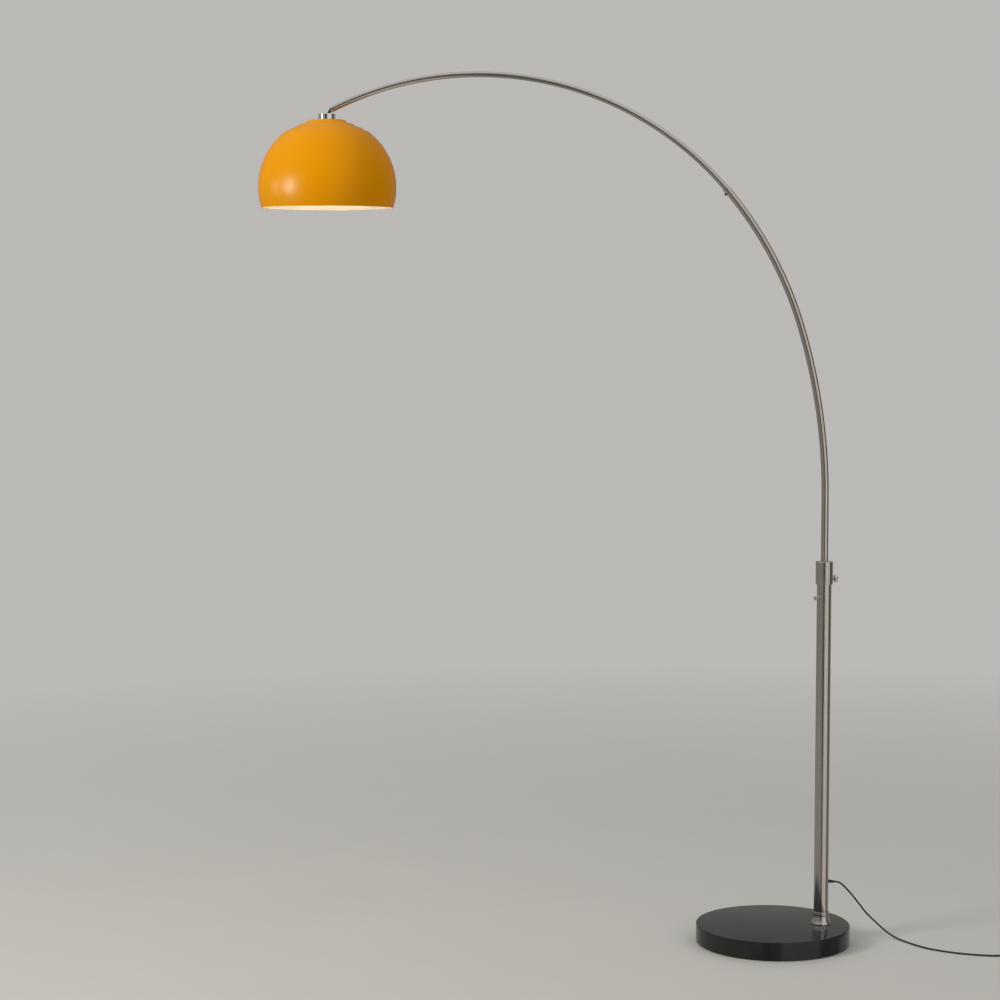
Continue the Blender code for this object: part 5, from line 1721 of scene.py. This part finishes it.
def make_floor():
    bm = bmesh.new()
    bmesh.ops.create_circle(bm, cap_ends=True, radius=FLOOR_RADIUS, segments=128)
    mesh = bpy.data.meshes.new("studio_floor")
    bm.to_mesh(mesh)
    bm.free()
    floor = bpy.data.objects.new("studio_floor", mesh)
    scene.collection.objects.link(floor)
    material, tree, shader, place = begin("pale floor", rgb(0.52, 0.505, 0.49), 0.6)
    clouds = noise(tree, place, 2.5, 4.0, 0.6)
    feed(tree, shader, tint(tree, clouds, rgb(0.50, 0.485, 0.47), rgb(0.54, 0.525, 0.51)))
    apart = put(tree, "VectorMath", {0: place}, operation="LENGTH").outputs["Value"]
    fading = remap(tree, apart, *FLOOR_FADE, 1.0, 0.0)
    mirrored = tree.nodes.new("ShaderNodeLightPath").outputs["Is Glossy Ray"]
    thinned = remap(tree, mirrored, 0.0, 1.0, 1.0, MIRRORED_FLOOR)
    tree.links.new(times(tree, fading, thinned), shader.inputs["Alpha"])
    mesh.materials.append(material)


make_floor()

# %% World
# Bearings in degrees to the right of the camera's side, and the brightness of each flat.
STUDIO_FLATS = (
    (-180, 0.27),
    (-100, 0.30),
    (-24, 0.30),
    (-16, 0.05),
    (3, 0.05),
    (11, 0.80),
    (64, 0.84),
    (74, 0.10),
    (108, 0.10),
    (118, 0.36),
    (180, 0.27),
)
CEILING = 0.8
CEILING_STARTS, CEILING_WHOLE = 0.35, 0.85
WARMTH = (1.0, 0.945, 0.885)


def make_world():
    world = bpy.data.worlds.new("studio")
    world.use_nodes = True
    scene.world = world
    tree = world.node_tree
    tree.nodes.clear()
    way = tree.nodes.new("ShaderNodeTexCoord").outputs["Generated"]
    parts = put(tree, "SeparateXYZ", {"Vector": way}).outputs
    ahead = put(tree, "Math", {0: parts["Y"], 1: -1.0}, operation="MULTIPLY").outputs[0]
    bearing = put(tree, "Math", {0: parts["X"], 1: ahead}, operation="ARCTAN2").outputs[0]
    ring = tree.nodes.new("ShaderNodeValToRGB")
    tree.links.new(remap(tree, bearing, -math.pi, math.pi), ring.inputs["Fac"])
    stops = ring.color_ramp.elements
    while len(stops) > 1:
        stops.remove(stops[-1])
    for index, (degrees, level) in enumerate(STUDIO_FLATS):
        place = (degrees + 180) / 360
        stop = stops[0] if index == 0 else stops.new(place)
        stop.position = place
        stop.color = rgb(*(level * part for part in WARMTH))
    above = remap(tree, parts["Z"], CEILING_STARTS, CEILING_WHOLE)
    lit = tint(tree, above, ring.outputs["Color"], rgb(CEILING, CEILING, CEILING))
    seen = tree.nodes.new("ShaderNodeLightPath").outputs["Is Camera Ray"]
    colour = tint(tree, seen, lit, BACKDROP)
    shade = put(tree, "Background", {"Color": colour, "Strength": 1.0})
    end = tree.nodes.new("ShaderNodeOutputWorld")
    tree.links.new(shade.outputs[0], end.inputs["Surface"])


make_world()

# %% [markdown]
# One broad soft lamp stands to the left and shapes the dome; it is kept out of reflections,
# so that the column keeps its own bands. Two small soft boxes beside the shade put the round
# double highlight on the lacquer and the bright patch on the swivel cap. They light only
# those pieces, and only as reflections. A weak fill lifts the right.

# %% Lamps
def make_lamp(name, place, target, size, power, colour, in_reflections):
    data = bpy.data.lights.new(name, "AREA")
    data.shape = "DISK"
    data.size = size
    data.energy = power
    data.color = colour
    lamp = bpy.data.objects.new(name, data)
    lamp.location = place
    lamp.rotation_euler = (target - place).to_track_quat("-Z", "Y").to_euler()
    lamp.visible_glossy = in_reflections
    scene.collection.objects.link(lamp)
    return lamp


SHADE_MIDDLE = SHADE_AXIS + Vector((0, 0, (SHADE_LOW + SHADE_TOP) / 2))
LAMP_MIDDLE = Vector((-0.35, 0, 0.9))
make_lamp("key", Vector((-4.2, -2.4, 2.9)), LAMP_MIDDLE, 1.8, 146, (0.97, 1.0, 0.84), False)
make_lamp("fill", Vector((3.2, -3.4, 2.2)), LAMP_MIDDLE, 2.2, 20, (1.0, 0.96, 0.92), False)


def make_soft_box(name, place, size, power, titles):
    """A lamp that only reflects, and only in the named pieces."""
    box = make_lamp(name, place, SHADE_MIDDLE, size, power, (1.0, 0.97, 0.92), True)
    box.visible_diffuse = False
    receivers = bpy.data.collections.new("lit by " + name)
    for title in titles:
        receivers.objects.link(bpy.data.objects[title])
    box.light_linking.receiver_collection = receivers


make_soft_box("soft_box", Vector((-2.99, -1.17, 1.69)), 0.75, 150, ["shade_dome"])
make_soft_box("soft_box_behind", Vector((-3.28, -0.05, 1.68)), 0.50, 14, ["shade_dome"])
make_soft_box("cap_box", Vector((-2.95, -0.85, 2.00)), 0.60, 4, ["swivel_cap_fine", "arm_lug"])
scene.view_settings.view_transform = "Standard"
scene.view_settings.look = "None"
